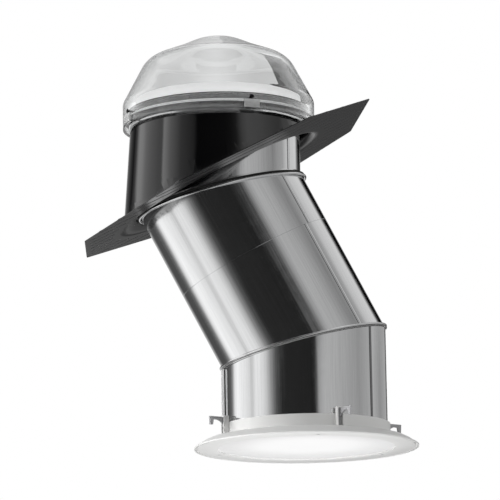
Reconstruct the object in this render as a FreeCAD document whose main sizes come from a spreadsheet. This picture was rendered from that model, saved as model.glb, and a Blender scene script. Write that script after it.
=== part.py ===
"""Rigid tubular skylight: clear dome, pitched roof flashing, mirror tube with two bends, ceiling ring.

The frame is the ceiling ring's. Its room face lies on Z = 0 around the lower tube's axis, +Z runs up
the tube, and the tube bends towards -X, where the roof slope falls. Lengths are in millimetres.
"""
import FreeCAD, Part
import math
import os
import re

SIZES = {
    # Light tube: rolled aluminium, joined at two mitres that turn by the bend angle
    "tube_radius": 175,
    "tube_sheet": 0.8,
    "bend_angle": 27.5,
    "lower_joint_height": 213,
    "slant_length": 385,
    "mid_seam_distance": 225,
    "mid_seam_overlap": 24,
    "seam_width": 7,
    "seam_rise": 1.1,
    "bottom_seam_angle": -44,
    "low_slant_seam_angle": -52.5,
    "high_slant_seam_angle": -48.5,
    "top_seam_angle": -38,
    "upper_bead_drop": 12,
    "upper_bead_radius": 3,
    "upper_seal_radius": 2.2,
    "lower_bead_rise": 6,
    "lower_bead_radius": 2.2,
    "lower_seal_radius": 1.3,
    "lap_angle": -176.2,
    "lap_rise": 8,
    "lap_wall": 1.6,
    "rivet_count": 4,
    "rivet_radius": 2.2,
    "rivet_rise": 1.1,
    # Roof flashing: one pressed steel sheet, plate and upstand
    "roof_pitch": 26.5,
    "roof_height": 576,
    "flashing_sheet": 1.5,
    "plate_low": 325,
    "plate_low_skew": 11,
    "plate_high": 346,
    "plate_low_half": 118,
    "plate_high_half": 160,
    "plate_side_half": 305,
    "plate_side_low": 126,
    "plate_side_high": 180,
    "plate_corner": 14,
    "upstand_gap": 14.5,
    "upstand_flare": 0.0735,
    "upstand_fillet": 16,
    "rib_pitch": 38,
    "rib_width": 11,
    "rib_rise": 2.6,
    "rib_edge_gap": 9,
    # Dome, its base ring and the tube hanger
    "upstand_rise": 158,
    "dome_overhang": 18.1,
    "dome_wall": 3,
    "skirt_drop": 33,
    "skirt_rise": 52,
    "shoulder_part": 0.753,
    "shoulder_step": 96.5,
    "cap_foot_part": 0.42,
    "cap_foot_step": 27.5,
    "cap_part": 0.165,
    "cap_step": 24.5,
    "skirt_rounding": 24,
    "shoulder_rounding": 58,
    "cap_foot_rounding": 60,
    "cap_rounding": 124,
    "base_ring_wall": 2.4,
    "base_ring_band": 13,
    "hanger_rise": 25,
    "hanger_wall": 3,
    "fixing_count": 4,
    "fixing_angle": -75.7,
    "fixing_drop": 9,
    "dome_screw_radius": 2.4,
    "clip_width": 35,
    "clip_rise": 18,
    "clip_wall": 2.6,
    # Ceiling ring, moulded with its collar and clamp guides
    "collar_gap": 3,
    "collar_wall": 2.5,
    "collar_top": 49,
    "collar_foot": 8,
    "ledge_width": 10,
    "ledge_wall": 2.5,
    "flange_width": 60.5,
    "flange_rise": 21.5,
    "flange_wall": 2.5,
    "rim_rise": 2.6,
    "guide_width": 16,
    "guide_depth": 11.5,
    "guide_top": 62.5,
    "guide_cap": 2.2,
    "channel_radius": 4.8,
    "clamp_count": 4,
    "clamp_angle": -74.5,
    "clamp_swing": 14,
    "clamp_travel": 18,
    "clamp_boss_radius": 4.4,
    "clamp_top": 60,
    "clamp_rise": 18,
    "clamp_reach": 40,
    "clamp_arm_width": 4.6,
    "clamp_arm_rise": 6.5,
    "clamp_barb": 7.5,
    "clamp_screw_radius": 1.9,
    # Glazing at the ceiling
    "trim_lap": 9.5,
    "trim_inset": 4.5,
    "trim_rise": 3,
    "diffuser_lap": 7,
    "diffuser_wall": 2.4,
    "diffuser_dish": 5,
    "pane_gap": 0.8,
    "pane_wall": 2.5,
    "trim_screw_count": 3,
    "trim_screw_inset": 36,
    "trim_screw_angle": -90,
    "trim_screw_radius": 1.9,
    "trim_head_radius": 4.2,
    "trim_head_rise": 1.7,
    # Clearances between pieces
    "fit_gap": 0.3,
    "screw_gap": 0.4,
}

doc = FreeCAD.newDocument("tubular_skylight")
sheet = doc.addObject("Spreadsheet::Sheet", "dims")
for row, (alias, number) in enumerate(SIZES.items(), start=1):
    sheet.set("A%d" % row, alias)
    sheet.set("B%d" % row, str(number))
    sheet.setAlias("B%d" % row, alias)
doc.recompute()

D = {alias: float(getattr(sheet, alias)) for alias in SIZES}
PARTS = {}

# Radii and heights that follow from the sheet, each written once
UPSTAND_TOP = "(roof_height + upstand_rise)"
RIM_RADIUS = "(tube_radius + upstand_gap)"
SKIRT_RADIUS = "(tube_radius + upstand_gap + dome_overhang)"
DOME_FOOT = "(roof_height + upstand_rise - skirt_drop)"
FIXING_HEIGHT = "(roof_height + upstand_rise - fixing_drop)"
COLLAR_IN = "(tube_radius + collar_gap)"
COLLAR_OUT = "(tube_radius + collar_gap + collar_wall)"
FLANGE_OUT = "(tube_radius + collar_gap + collar_wall + flange_width)"
TRIM_IN = "(tube_radius + collar_gap + collar_wall + trim_lap)"
TRIM_OUT = "(tube_radius + collar_gap + collar_wall + flange_width - flange_wall - trim_inset)"
DIFFUSER_OUT = "(tube_radius + collar_gap + collar_wall + trim_lap + diffuser_lap)"
PANE_RADIUS = "(tube_radius - tube_sheet - pane_gap)"
SCREW_CIRCLE = "(tube_radius + collar_gap + collar_wall + flange_width - trim_screw_inset)"


def bound(expression):
    """The expression with each alias pointing into the sheet."""
    return re.sub(r"[a-z_]*_[a-z_]+", lambda word: "dims." + word.group(0), expression)


def size(expression):
    """The number that an expression of aliases stands for."""
    return float(sheet.evalExpression(bound(expression)))


def bind(item, **properties):
    """Tie an object's sizes to expressions of the sheet's aliases."""
    for name, expression in properties.items():
        item.setExpression(name, bound(expression))


def keep(label, item):
    """Name a finished sub-part."""
    item.Label = label
    PARTS[label] = item
    return item


def origin_plane(body, role):
    return next(feature for feature in body.Origin.OriginFeatures if feature.Role == role)


def outline_sketch(body, corners):
    """A closed outline of straight sides on the XZ plane, each corner bound to a radius and a height."""
    sketch = body.newObject("Sketcher::SketchObject", body.Name + "_outline")
    sketch.AttachmentSupport = [(origin_plane(body, "XZ_Plane"), "")]
    sketch.MapMode = "FlatFace"
    points = [FreeCAD.Vector(size(x), size(z), 0) for x, z in corners]
    count = len(points)
    for index in range(count):
        sketch.addGeometry(Part.LineSegment(points[index], points[(index + 1) % count]), False)
    for index in range(count):
        following = (index + 1) % count
        sketch.addConstraint(Sketcher.Constraint("Coincident", index, 2, following, 1))
    for index, (x, z) in enumerate(corners):
        for kind, expression, number in (("DistanceX", x, points[index].x), ("DistanceY", z, points[index].y)):
            place = sketch.addConstraint(Sketcher.Constraint(kind, -1, 1, index, 1, number))
            sketch.setExpression("Constraints[%d]" % place, bound(expression))
    return sketch


def turned(name, corners):
    """A body turned about its own Z axis from an outline of radii and heights."""
    body = doc.addObject("PartDesign::Body", name)
    sketch = outline_sketch(body, corners)
    turn = body.newObject("PartDesign::Revolution", name + "_turn")
    turn.Profile = sketch
    turn.ReferenceAxis = (sketch, ["V_Axis"])
    turn.Angle = 360
    doc.recompute()
    return body


def cylinder(name, radius, height, placement):
    """A cylinder with bound sizes; a number for the height stands as it is."""
    item = doc.addObject("Part::Cylinder", name)
    bind(item, Radius=radius)
    if isinstance(height, str):
        bind(item, Height=height)
    else:
        item.Height = height
    item.Placement = placement
    return item


def raised(placement, height):
    """The placement moved up its own axis."""
    return placement.multiply(FreeCAD.Placement(FreeCAD.Vector(0, 0, height), FreeCAD.Rotation()))


def cut(name, base, tool):
    item = doc.addObject("Part::Cut", name)
    item.Base = base
    item.Tool = tool
    return item


def fused(name, pieces):
    item = doc.addObject("Part::MultiFuse", name)
    item.Shapes = pieces
    return item


def solid_feature(name, shape):
    item = doc.addObject("Part::Feature", name)
    item.Shape = shape
    return item


def about_z(shape, count, first_angle):
    """Copies of a shape set evenly round the Z axis."""
    copies = []
    for index in range(int(count)):
        copy = shape.copy()
        copy.rotate(FreeCAD.Vector(0, 0, 0), FreeCAD.Vector(0, 0, 1), first_angle + index * 360.0 / count)
        copies.append(copy)
    return copies


def tilted(x, z, angle):
    """A placement at (x, 0, z) turned about Y, positive towards -X."""
    return FreeCAD.Placement(FreeCAD.Vector(x, 0, z), FreeCAD.Rotation(FreeCAD.Vector(0, 1, 0), -angle))


import Sketcher

# Where the bends put the upper tube: its axis is offset towards -X
BEND = math.radians(D["bend_angle"])
AXIS_X = -D["slant_length"] * math.sin(BEND)
UPPER_JOINT_Z = D["lower_joint_height"] + D["slant_length"] * math.cos(BEND)
MITRE_RISE = D["tube_radius"] * math.tan(BEND / 2)
PITCH = math.radians(D["roof_pitch"])


# Mitre planes: a block above each joint and one below trim the tube lengths that meet there
def half_space(name, x, z, side):
    reach = 4 * D["tube_radius"]
    block = Part.makeBox(reach, reach, reach, FreeCAD.Vector(-reach / 2, -reach / 2, 0 if side > 0 else -reach))
    item = solid_feature(name, block)
    item.Placement = tilted(x, z, D["bend_angle"] / 2)
    return item


above_lower = half_space("above_lower_joint", 0, D["lower_joint_height"], 1)
below_lower = half_space("below_lower_joint", 0, D["lower_joint_height"], -1)
above_upper = half_space("above_upper_joint", AXIS_X, UPPER_JOINT_Z, 1)
below_upper = half_space("below_upper_joint", AXIS_X, UPPER_JOINT_Z, -1)


# Where the bead and its seal sit on the slanted tube, the folded seam is left out
def bead_zone(name, x, z, low, high):
    reach = 4 * D["tube_radius"]
    item = solid_feature(name, Part.makeBox(reach, reach, high - low, FreeCAD.Vector(-reach / 2, -reach / 2, low)))
    item.Placement = tilted(x, z, D["bend_angle"] / 2)
    return item


lower_zone = bead_zone("lower_bead_zone", 0, D["lower_joint_height"], -MITRE_RISE,
                       D["lower_bead_rise"] + D["lower_bead_radius"] + 2 * D["fit_gap"])
upper_zone = bead_zone("upper_bead_zone", AXIS_X, UPPER_JOINT_Z,
                       -D["upper_bead_drop"] - D["upper_bead_radius"] - 2 * D["fit_gap"], MITRE_RISE)


def strip(name, rise, width, angle, start, end, placement):
    """A straight strip on a tube's wall, along the tube, as proud of it as the rise."""
    item = doc.addObject("Part::Box", name)
    bind(item, Length=rise + " + tube_sheet", Width=width)
    item.Height = end - start
    turn = FreeCAD.Placement(FreeCAD.Vector(0, 0, 0), FreeCAD.Rotation(FreeCAD.Vector(0, 0, 1), angle))
    foot = FreeCAD.Vector(D["tube_radius"] - D["tube_sheet"], -size(width) / 2, start)
    item.Placement = placement.multiply(turn).multiply(FreeCAD.Placement(foot, FreeCAD.Rotation()))
    return item


def tube_length(name, start, end, placement, strips, trim):
    """A rolled tube with its folded strips, trimmed at its mitre. Lengths run along its own axis."""
    foot = raised(placement, start)
    wall = cylinder(name + "_wall", "tube_radius", end - start, foot)
    core = cylinder(name + "_core", "tube_radius - tube_sheet", end - start, foot)
    return cut(name + "_trim", cut(name + "_hollow", fused(name + "_solid", [wall] + strips), core), trim)


UPRIGHT = FreeCAD.Placement()
UPPER = FreeCAD.Placement(FreeCAD.Vector(AXIS_X, 0, 0), FreeCAD.Rotation())
SLANT = tilted(0, D["lower_joint_height"], D["bend_angle"])
HANGER_FOOT = size(UPSTAND_TOP) + 2 * D["fit_gap"] + D["base_ring_wall"]
TUBE_TOP = HANGER_FOOT + D["hanger_rise"] - D["hanger_wall"]
TUBE_FOOT = D["collar_foot"] + D["ledge_wall"]
SEAM_FOOT = D["collar_top"] + 4 * D["fit_gap"]

LOW_END = -2 * MITRE_RISE
HIGH_END = D["slant_length"] + 2 * MITRE_RISE
BOTTOM_END = D["lower_joint_height"] + 2 * MITRE_RISE
bottom_seam = strip("bottom_seam", "seam_rise", "seam_width", D["bottom_seam_angle"], SEAM_FOOT, BOTTOM_END, UPRIGHT)
lap_flange = strip("lap_flange", "lap_rise", "lap_wall", D["lap_angle"], SEAM_FOOT, BOTTOM_END, UPRIGHT)
keep("bottom_tube", tube_length(
    "bottom_tube", TUBE_FOOT, BOTTOM_END, UPRIGHT, [bottom_seam, lap_flange], above_lower))
low_seam = strip(
    "low_seam", "seam_rise", "seam_width", D["low_slant_seam_angle"], LOW_END, D["mid_seam_distance"], SLANT)
lower_slant = tube_length(
    "slant_tube_lower_raw", LOW_END, D["mid_seam_distance"], SLANT, [cut("low_seam_end", low_seam, lower_zone)],
    below_lower)
high_seam = strip(
    "high_seam", "seam_rise", "seam_width", D["high_slant_seam_angle"], D["mid_seam_distance"], HIGH_END, SLANT)
keep("slant_tube_upper", tube_length(
    "slant_tube_upper", D["mid_seam_distance"], HIGH_END, SLANT, [cut("high_seam_end", high_seam, upper_zone)],
    above_upper))
TOP_START = UPPER_JOINT_Z - 2 * MITRE_RISE
top_seam = strip("top_seam", "seam_rise", "seam_width", D["top_seam_angle"], TOP_START,
                 HANGER_FOOT - 4 * D["fit_gap"], UPPER)
keep("top_tube", tube_length("top_tube", TOP_START, TUBE_TOP, UPPER, [top_seam], below_upper))

# The lower slanted length ends in a swaged neck that slides into the upper one
neck_foot = raised(SLANT, D["mid_seam_distance"])
step_foot = raised(neck_foot, -2 * D["tube_sheet"])
neck_wall = cylinder("neck_wall", "tube_radius - tube_sheet - fit_gap / 3", "mid_seam_overlap", neck_foot)
neck_core = cylinder("neck_core", "tube_radius - 2 * tube_sheet - fit_gap / 3", "mid_seam_overlap", neck_foot)
step_wall = cylinder("step_wall", "tube_radius - tube_sheet", "2 * tube_sheet", step_foot)
step_core = cylinder("step_core", "tube_radius - 2 * tube_sheet - fit_gap / 3", "2 * tube_sheet", step_foot)
neck = cut("neck", neck_wall, neck_core)
step = cut("step", step_wall, step_core)
keep("slant_tube_lower", fused("slant_tube_lower", [lower_slant, neck, step]))


# Rolled beads and rubber seals: a D section of flats, carried round the slanted tube's ends
def bead_ring(label, distance, section_radius):
    """A ring parallel to the mitres, at a distance up the slanted tube from the lower joint."""
    inside = D["tube_radius"] + D["fit_gap"] + D["seam_rise"]

    def oval(out, height):
        centre = FreeCAD.Vector(0, 0, height)
        return Part.Wire([Part.Ellipse(centre, (inside + out) / math.cos(BEND / 2), inside + out).toShape()])

    turns = [math.radians(angle) for angle in (-90, -54, -18, 18, 54, 90)]
    rims = [oval(section_radius * (1 + math.cos(turn)), section_radius * math.sin(turn)) for turn in turns]
    bore = Part.Face(oval(0, -2 * section_radius)).extrude(FreeCAD.Vector(0, 0, 4 * section_radius))
    item = keep(label, solid_feature(label, Part.makeLoft(rims, True, True).cut(bore)))
    item.Placement = tilted(
        -distance * math.sin(BEND), D["lower_joint_height"] + distance * math.cos(BEND), D["bend_angle"] / 2)
    return item


def beside(bead_radius, seal_radius):
    """How far apart along the slanted tube a bead and its seal lie."""
    return (bead_radius + seal_radius + D["fit_gap"]) / math.cos(BEND / 2)


UPPER_BEAD = D["slant_length"] - D["upper_bead_drop"]
UPPER_SEAL = UPPER_BEAD + beside(D["upper_bead_radius"], D["upper_seal_radius"])
LOWER_SEAL = D["lower_bead_rise"] - beside(D["lower_bead_radius"], D["lower_seal_radius"])
bead_ring("upper_joint_ring", UPPER_BEAD, D["upper_bead_radius"])
bead_ring("upper_joint_seal", UPPER_SEAL, D["upper_seal_radius"])
bead_ring("lower_joint_ring", D["lower_bead_rise"], D["lower_bead_radius"])
bead_ring("lower_joint_seal", LOWER_SEAL, D["lower_seal_radius"])

# Rivets close the bottom tube's standing lap
rivets = []
rivet_span = D["lower_joint_height"] - MITRE_RISE - SEAM_FOOT
for index in range(int(D["rivet_count"])):
    height = SEAM_FOOT + rivet_span * (index + 0.5) / int(D["rivet_count"])
    foot = FreeCAD.Vector(D["tube_radius"] + D["lap_rise"] / 2, D["lap_wall"] / 2, height)
    head = Part.makeCylinder(D["rivet_radius"], D["rivet_rise"], foot, FreeCAD.Vector(0, 1, 0))
    head = head.makeChamfer(D["rivet_rise"] * 0.5, [head.Edges[0]])
    rivets += about_z(head, 1, D["lap_angle"])
keep("tube_rivets", solid_feature("tube_rivets", Part.makeCompound(rivets)))


# Flashing plate: eight sides, falling towards -X, with pressed ribs that follow the slope
def low_end(v, inset=0.0):
    """How far down the slope the skewed low end lies at a place across the plate."""
    return inset - D["plate_low"] + D["plate_low_skew"] * v / D["plate_low_half"]


def plate_outline(inset=0.0):
    """Corners of the plate in its own plane: U up the slope, V across it."""
    near = []
    for side in (1, -1):
        half = side * (D["plate_low_half"] - inset / 2)
        edge = side * (D["plate_side_half"] - inset)
        near.append([(low_end(half, inset), half), (-D["plate_side_low"], edge), (D["plate_side_high"], edge),
                     (D["plate_high"] - inset, side * (D["plate_high_half"] - inset / 2))])
    return near[0] + near[1][::-1]


def flat_solid(corners, thickness, corner_radius):
    """A flat plate on the corners, its corners rounded, its underside on Z = 0."""
    points = [FreeCAD.Vector(u, v, 0) for u, v in corners]
    face = Part.Face(Part.makePolygon(points + points[:1]))
    solid = face.extrude(FreeCAD.Vector(0, 0, thickness))
    upright = [edge for edge in solid.Edges if abs(edge.tangentAt(edge.FirstParameter).z) > 0.99]
    return solid.makeFillet(corner_radius, upright)


ROOF = tilted(AXIS_X, D["roof_height"], D["roof_pitch"])
plate = solid_feature("plate", flat_solid(plate_outline(), D["flashing_sheet"], D["plate_corner"]))
plate.Placement = ROOF


def upstand_radius(height):
    return size(RIM_RADIUS) + D["upstand_flare"] * (size(UPSTAND_TOP) - height)


def upstand_cone(name, inward):
    """The upstand's flared cone, from well under the plate to its rim."""
    foot = D["roof_height"] - 1.6 * size(RIM_RADIUS) * math.tan(PITCH)
    rise = size(UPSTAND_TOP) - foot + (2 if inward else 0)
    item = doc.addObject("Part::Cone", name)
    item.Radius1 = upstand_radius(foot) - inward
    item.Radius2 = upstand_radius(foot + rise) - inward
    item.Height = rise
    item.Placement = FreeCAD.Placement(FreeCAD.Vector(AXIS_X, 0, foot), FreeCAD.Rotation())
    return item


under_roof = solid_feature("under_roof", Part.makeBox(
    4 * D["plate_high"], 4 * D["plate_high"], 2 * D["plate_high"],
    FreeCAD.Vector(-2 * D["plate_high"], -2 * D["plate_high"], -2 * D["plate_high"])))
under_roof.Placement = ROOF
upstand = cut("upstand", upstand_cone("upstand_outer", 0), under_roof)
shell_solid = fused("flashing_solid", [plate, upstand])
doc.recompute()


def edges_between(shape, is_wanted):
    return [index for index, edge in enumerate(shape.Edges, start=1) if is_wanted(edge)]


def round_edges(name, base, radius, is_wanted):
    """A Part fillet of one radius on the edges that the test picks."""
    fillet = doc.addObject("Part::Fillet", name)
    fillet.Base = base
    fillet.Edges = [(index, radius, radius) for index in edges_between(base.Shape, is_wanted)]
    doc.recompute()
    return fillet


def on_roof_plane(offset):
    """A test for the closed, curved edge where the upstand meets the plate at this height over it."""
    def is_wanted(edge):
        if isinstance(edge.Curve, (Part.Line, Part.Circle)):
            return False
        middle = ROOF.inverse().multVec(edge.valueAt((edge.FirstParameter + edge.LastParameter) / 2))
        return abs(middle.z - offset) < 0.01
    return is_wanted


outer_round = round_edges("outer_round", shell_solid, D["upstand_fillet"], on_roof_plane(D["flashing_sheet"]))
hollowed = cut("hollowed", outer_round, upstand_cone("upstand_inner", D["flashing_sheet"]))
doc.recompute()
inner_round = round_edges(
    "inner_round", hollowed, D["upstand_fillet"] + D["flashing_sheet"], on_roof_plane(0))


def rib_runs():
    """Start and end up the slope, and place across it, of each pressed rib."""
    runs = []
    edge = plate_outline(D["rib_edge_gap"])
    lines = int(D["plate_side_half"] / D["rib_pitch"])
    foot_radius = upstand_radius(D["roof_height"]) + D["upstand_fillet"] + D["rib_width"]
    for line in range(-lines, lines + 1):
        v = (line + 0.5) * D["rib_pitch"]
        if abs(v) > D["plate_side_half"] - D["rib_edge_gap"] - D["rib_width"] / 2:
            continue
        corners = edge[:4] if v > 0 else edge[:3:-1]
        start = crossing(corners[0], corners[1], v) if abs(v) > abs(corners[0][1]) else low_end(v, D["rib_edge_gap"])
        end = crossing(corners[3], corners[2], v) if abs(v) > abs(corners[3][1]) else corners[3][0]
        start += abs(D["plate_low_skew"]) * D["rib_width"] / D["plate_low_half"]
        if abs(v) > foot_radius:
            runs.append((start, end, v))
            continue
        half_chord = math.sqrt(foot_radius ** 2 - v ** 2) / math.cos(PITCH)
        runs.append((start, -half_chord, v))
        runs.append((half_chord, end, v))
    return runs


def crossing(end_corner, side_corner, v):
    """Where a line at V crosses the slanted edge between an end corner and a side corner."""
    share = (v - end_corner[1]) / (side_corner[1] - end_corner[1])
    return end_corner[0] + share * (side_corner[0] - end_corner[0])


def rib_solid(start, end, v, width, rise, base):
    """A straight rib with sloping flanks and ends, standing on a height over the plate's underside."""
    foot = [FreeCAD.Vector(u, w, base) for u, w in (
        (start, v - width / 2), (end, v - width / 2), (end, v + width / 2), (start, v + width / 2))]
    inset = width * 0.3
    top = [FreeCAD.Vector(u, w, base + rise) for u, w in (
        (start + inset, v - width / 2 + inset), (end - inset, v - width / 2 + inset),
        (end - inset, v + width / 2 - inset), (start + inset, v + width / 2 - inset))]
    return Part.makeLoft([Part.makePolygon(foot + foot[:1]), Part.makePolygon(top + top[:1])], True, True)


crests = []
troughs = []
wall = D["flashing_sheet"]
for start, end, v in rib_runs():
    crests.append(rib_solid(start, end, v, D["rib_width"], D["rib_rise"] + wall * 0.5, wall * 0.5))
    troughs.append(rib_solid(
        start + wall, end - wall, v, D["rib_width"] - 1.6 * wall, D["rib_rise"], -0.05))
rib_crests = solid_feature("rib_crests", Part.makeCompound(crests))
rib_troughs = solid_feature("rib_troughs", Part.makeCompound(troughs))
for item in (rib_crests, rib_troughs):
    item.Placement = ROOF
ribbed = cut("ribbed", fused("with_crests", [inner_round, rib_crests]), rib_troughs)

# Four self-tapping screws hold the dome, its base ring and the upstand together
SCREW_START = size(RIM_RADIUS) - 3 * D["flashing_sheet"]
SCREW_END = size(SKIRT_RADIUS)


def radial_rods(radius, start, end, height, count, first_angle):
    """Round bars that point outwards, set evenly round the Z axis."""
    rod = Part.makeCylinder(radius, end - start, FreeCAD.Vector(start, 0, height), FreeCAD.Vector(1, 0, 0))
    return about_z(rod, count, first_angle)


hole_tool = solid_feature("dome_screw_holes", Part.makeCompound(radial_rods(
    D["dome_screw_radius"] + D["screw_gap"] / 2, SCREW_START - 2, SCREW_END + 6, size(FIXING_HEIGHT),
    D["fixing_count"], D["fixing_angle"])))
hole_tool.Placement = UPPER
keep("flashing", cut("flashing", ribbed, hole_tool))

# Dome: one blown acrylic shell with an upright skirt, a coned side and a raised cap
def soft_line(corners):
    """Edges of an open line through corners of radius, height and rounding."""
    edges = []
    last = FreeCAD.Vector(corners[0][0], 0, corners[0][1])
    for before, here, after in zip(corners, corners[1:], corners[2:]):
        point = FreeCAD.Vector(here[0], 0, here[1])
        back = (FreeCAD.Vector(before[0], 0, before[1]) - point).normalize()
        ahead = (FreeCAD.Vector(after[0], 0, after[1]) - point).normalize()
        half = back.getAngle(ahead) / 2
        start = point + back * (here[2] / math.tan(half))
        end = point + ahead * (here[2] / math.tan(half))
        middle = point + (back + ahead).normalize() * (here[2] / math.sin(half) - here[2])
        edges.append(Part.LineSegment(last, start).toShape())
        edges.append(Part.Arc(start, middle, end).toShape())
        last = end
    tail = FreeCAD.Vector(corners[-1][0], 0, corners[-1][1])
    edges.append(Part.LineSegment(last, tail).toShape())
    return edges


def inside_line(corners, wall):
    """The same corners moved inwards by a wall, with roundings that keep the wall even."""
    slopes = [math.atan2(b[1] - a[1], b[0] - a[0]) for a, b in zip(corners, corners[1:])]
    moved = [(corners[0][0] - wall, corners[0][1], 0)]
    for index in range(1, len(corners) - 1):
        before, after = slopes[index - 1], slopes[index]
        turn = (after - before) / 2
        reach = wall / math.cos(turn)
        heading = (before + after) / 2 + math.pi / 2
        rounding = corners[index][2] + (wall if turn < 0 else -wall)
        moved.append((corners[index][0] + reach * math.cos(heading),
                      corners[index][1] + reach * math.sin(heading), rounding))
    return moved + [(0, corners[-1][1] - wall, 0)]


SKIRT_TOP = size(DOME_FOOT) + D["skirt_rise"]
SHOULDER = SKIRT_TOP + D["shoulder_step"]
CAP_FOOT = SHOULDER + D["cap_foot_step"]
DOME_TOP = CAP_FOOT + D["cap_step"]
dome_line = [
    (size(SKIRT_RADIUS), size(DOME_FOOT), 0),
    (size(SKIRT_RADIUS), SKIRT_TOP, D["skirt_rounding"]),
    (size(SKIRT_RADIUS) * D["shoulder_part"], SHOULDER, D["shoulder_rounding"]),
    (size(SKIRT_RADIUS) * D["cap_foot_part"], CAP_FOOT, D["cap_foot_rounding"]),
    (size(SKIRT_RADIUS) * D["cap_part"], DOME_TOP, D["cap_rounding"]),
    (0, DOME_TOP, 0)]
inner_line = inside_line(dome_line, D["dome_wall"])
ends = [
    Part.LineSegment(FreeCAD.Vector(0, 0, dome_line[-1][1]), FreeCAD.Vector(0, 0, inner_line[-1][1])).toShape(),
    Part.LineSegment(FreeCAD.Vector(inner_line[0][0], 0, dome_line[0][1]),
                     FreeCAD.Vector(dome_line[0][0], 0, dome_line[0][1])).toShape()]
dome_section = Part.Wire(Part.__sortEdges__(soft_line(dome_line) + soft_line(inner_line) + ends))
dome_shape = Part.Face(dome_section).revolve(FreeCAD.Vector(0, 0, 0), FreeCAD.Vector(0, 0, 1), 360)
dome = solid_feature("dome_shell", dome_shape)
dome.Placement = UPPER
keep("dome", cut("dome", dome, hole_tool))

# Base ring: clear moulding that hooks over the upstand's rim and carries the dome's skirt
RING_IN = "(tube_radius + upstand_gap + upstand_flare * (skirt_drop + dome_wall) + fit_gap)"
RING_FOOT = "(roof_height + upstand_rise - skirt_drop - dome_wall)"
RIM_SEAT = "(roof_height + upstand_rise + fit_gap)"
base_ring = turned("base_ring", [
    (RING_IN, RING_FOOT), (SKIRT_RADIUS, RING_FOOT), (SKIRT_RADIUS, DOME_FOOT),
    (SKIRT_RADIUS + " - dome_wall - fit_gap", DOME_FOOT),
    (SKIRT_RADIUS + " - dome_wall - fit_gap", DOME_FOOT + " + base_ring_band"),
    (RING_IN + " + base_ring_wall", DOME_FOOT + " + base_ring_band + base_ring_wall"),
    (RING_IN + " + base_ring_wall", RIM_SEAT + " + base_ring_wall"),
    (RIM_RADIUS + " - 3 * base_ring_wall", RIM_SEAT + " + base_ring_wall"),
    (RIM_RADIUS + " - 3 * base_ring_wall", RIM_SEAT), (RING_IN, RIM_SEAT)])
base_ring.Placement = UPPER
keep("dome_base_ring", cut("dome_base_ring", base_ring, hole_tool))

# Hanger: white ring on the base ring's lip, its own lip over the top tube's end
hanger_foot = "roof_height + upstand_rise + 2 * fit_gap + base_ring_wall"
hanger = turned("tube_hanger_body", [
    ("tube_radius + fit_gap", hanger_foot), (RIM_RADIUS, hanger_foot),
    (RIM_RADIUS, hanger_foot + " + hanger_wall"),
    ("tube_radius + fit_gap + hanger_wall", hanger_foot + " + hanger_wall"),
    ("tube_radius + fit_gap + hanger_wall", hanger_foot + " + hanger_rise"),
    ("tube_radius - 2 * hanger_wall", hanger_foot + " + hanger_rise"),
    ("tube_radius - 2 * hanger_wall", hanger_foot + " + hanger_rise - hanger_wall + fit_gap / 2"),
    ("tube_radius + fit_gap", hanger_foot + " + hanger_rise - hanger_wall + fit_gap / 2")])
hanger.Placement = UPPER
keep("tube_hanger", hanger)


# Dome screws and the latch plates under them
def screw_solid(shank_radius, head_radius, head_rise, length):
    """A pan-head screw along +X, its head's seat at X = 0 and its shank towards -X."""
    back = FreeCAD.Vector(-1, 0, 0)
    shank = Part.makeCylinder(shank_radius, length, FreeCAD.Vector(0, 0, 0), back)
    head = Part.makeCylinder(head_radius, head_rise, FreeCAD.Vector(0, 0, 0), FreeCAD.Vector(1, 0, 0))
    head = head.makeChamfer(head_rise * 0.4, [head.Edges[0]])
    return shank.fuse(head).removeSplitter()


dome_screw = screw_solid(D["dome_screw_radius"], 2.1 * D["dome_screw_radius"], 2.2, SCREW_END - SCREW_START)
dome_screw.translate(FreeCAD.Vector(SCREW_END + D["fit_gap"] / 3, 0, size(FIXING_HEIGHT)))
screws = keep("dome_screws", solid_feature("dome_screws", Part.makeCompound(
    about_z(dome_screw, D["fixing_count"], D["fixing_angle"]))))
screws.Placement = UPPER


def clip_solid():
    """A curved latch plate on the skirt with two raised pads."""
    inner = size(SKIRT_RADIUS) + D["fit_gap"] / 3
    band = Part.makeCylinder(inner + D["clip_wall"], D["clip_rise"]).cut(Part.makeCylinder(inner, D["clip_rise"]))
    block = Part.makeBox(
        2 * D["clip_width"], D["clip_width"], D["clip_rise"],
        FreeCAD.Vector(inner - D["clip_width"], -D["clip_width"] / 2, 0))
    plate_piece = band.common(block)
    pad_width = D["clip_width"] * 0.3
    for side in (-1, 1):
        foot = FreeCAD.Vector(inner + D["clip_wall"] * 0.5, side * pad_width - pad_width / 2, D["clip_rise"] * 0.25)
        plate_piece = plate_piece.fuse(Part.makeBox(D["clip_wall"], pad_width, D["clip_rise"] * 0.5, foot))
    return plate_piece.removeSplitter()


clip = clip_solid()
clip.translate(FreeCAD.Vector(0, 0, size(DOME_FOOT)))
clips = keep("dome_clips", solid_feature("dome_clips", Part.makeCompound(
    about_z(clip, D["fixing_count"], D["fixing_angle"]))))
clips.Placement = UPPER

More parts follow.
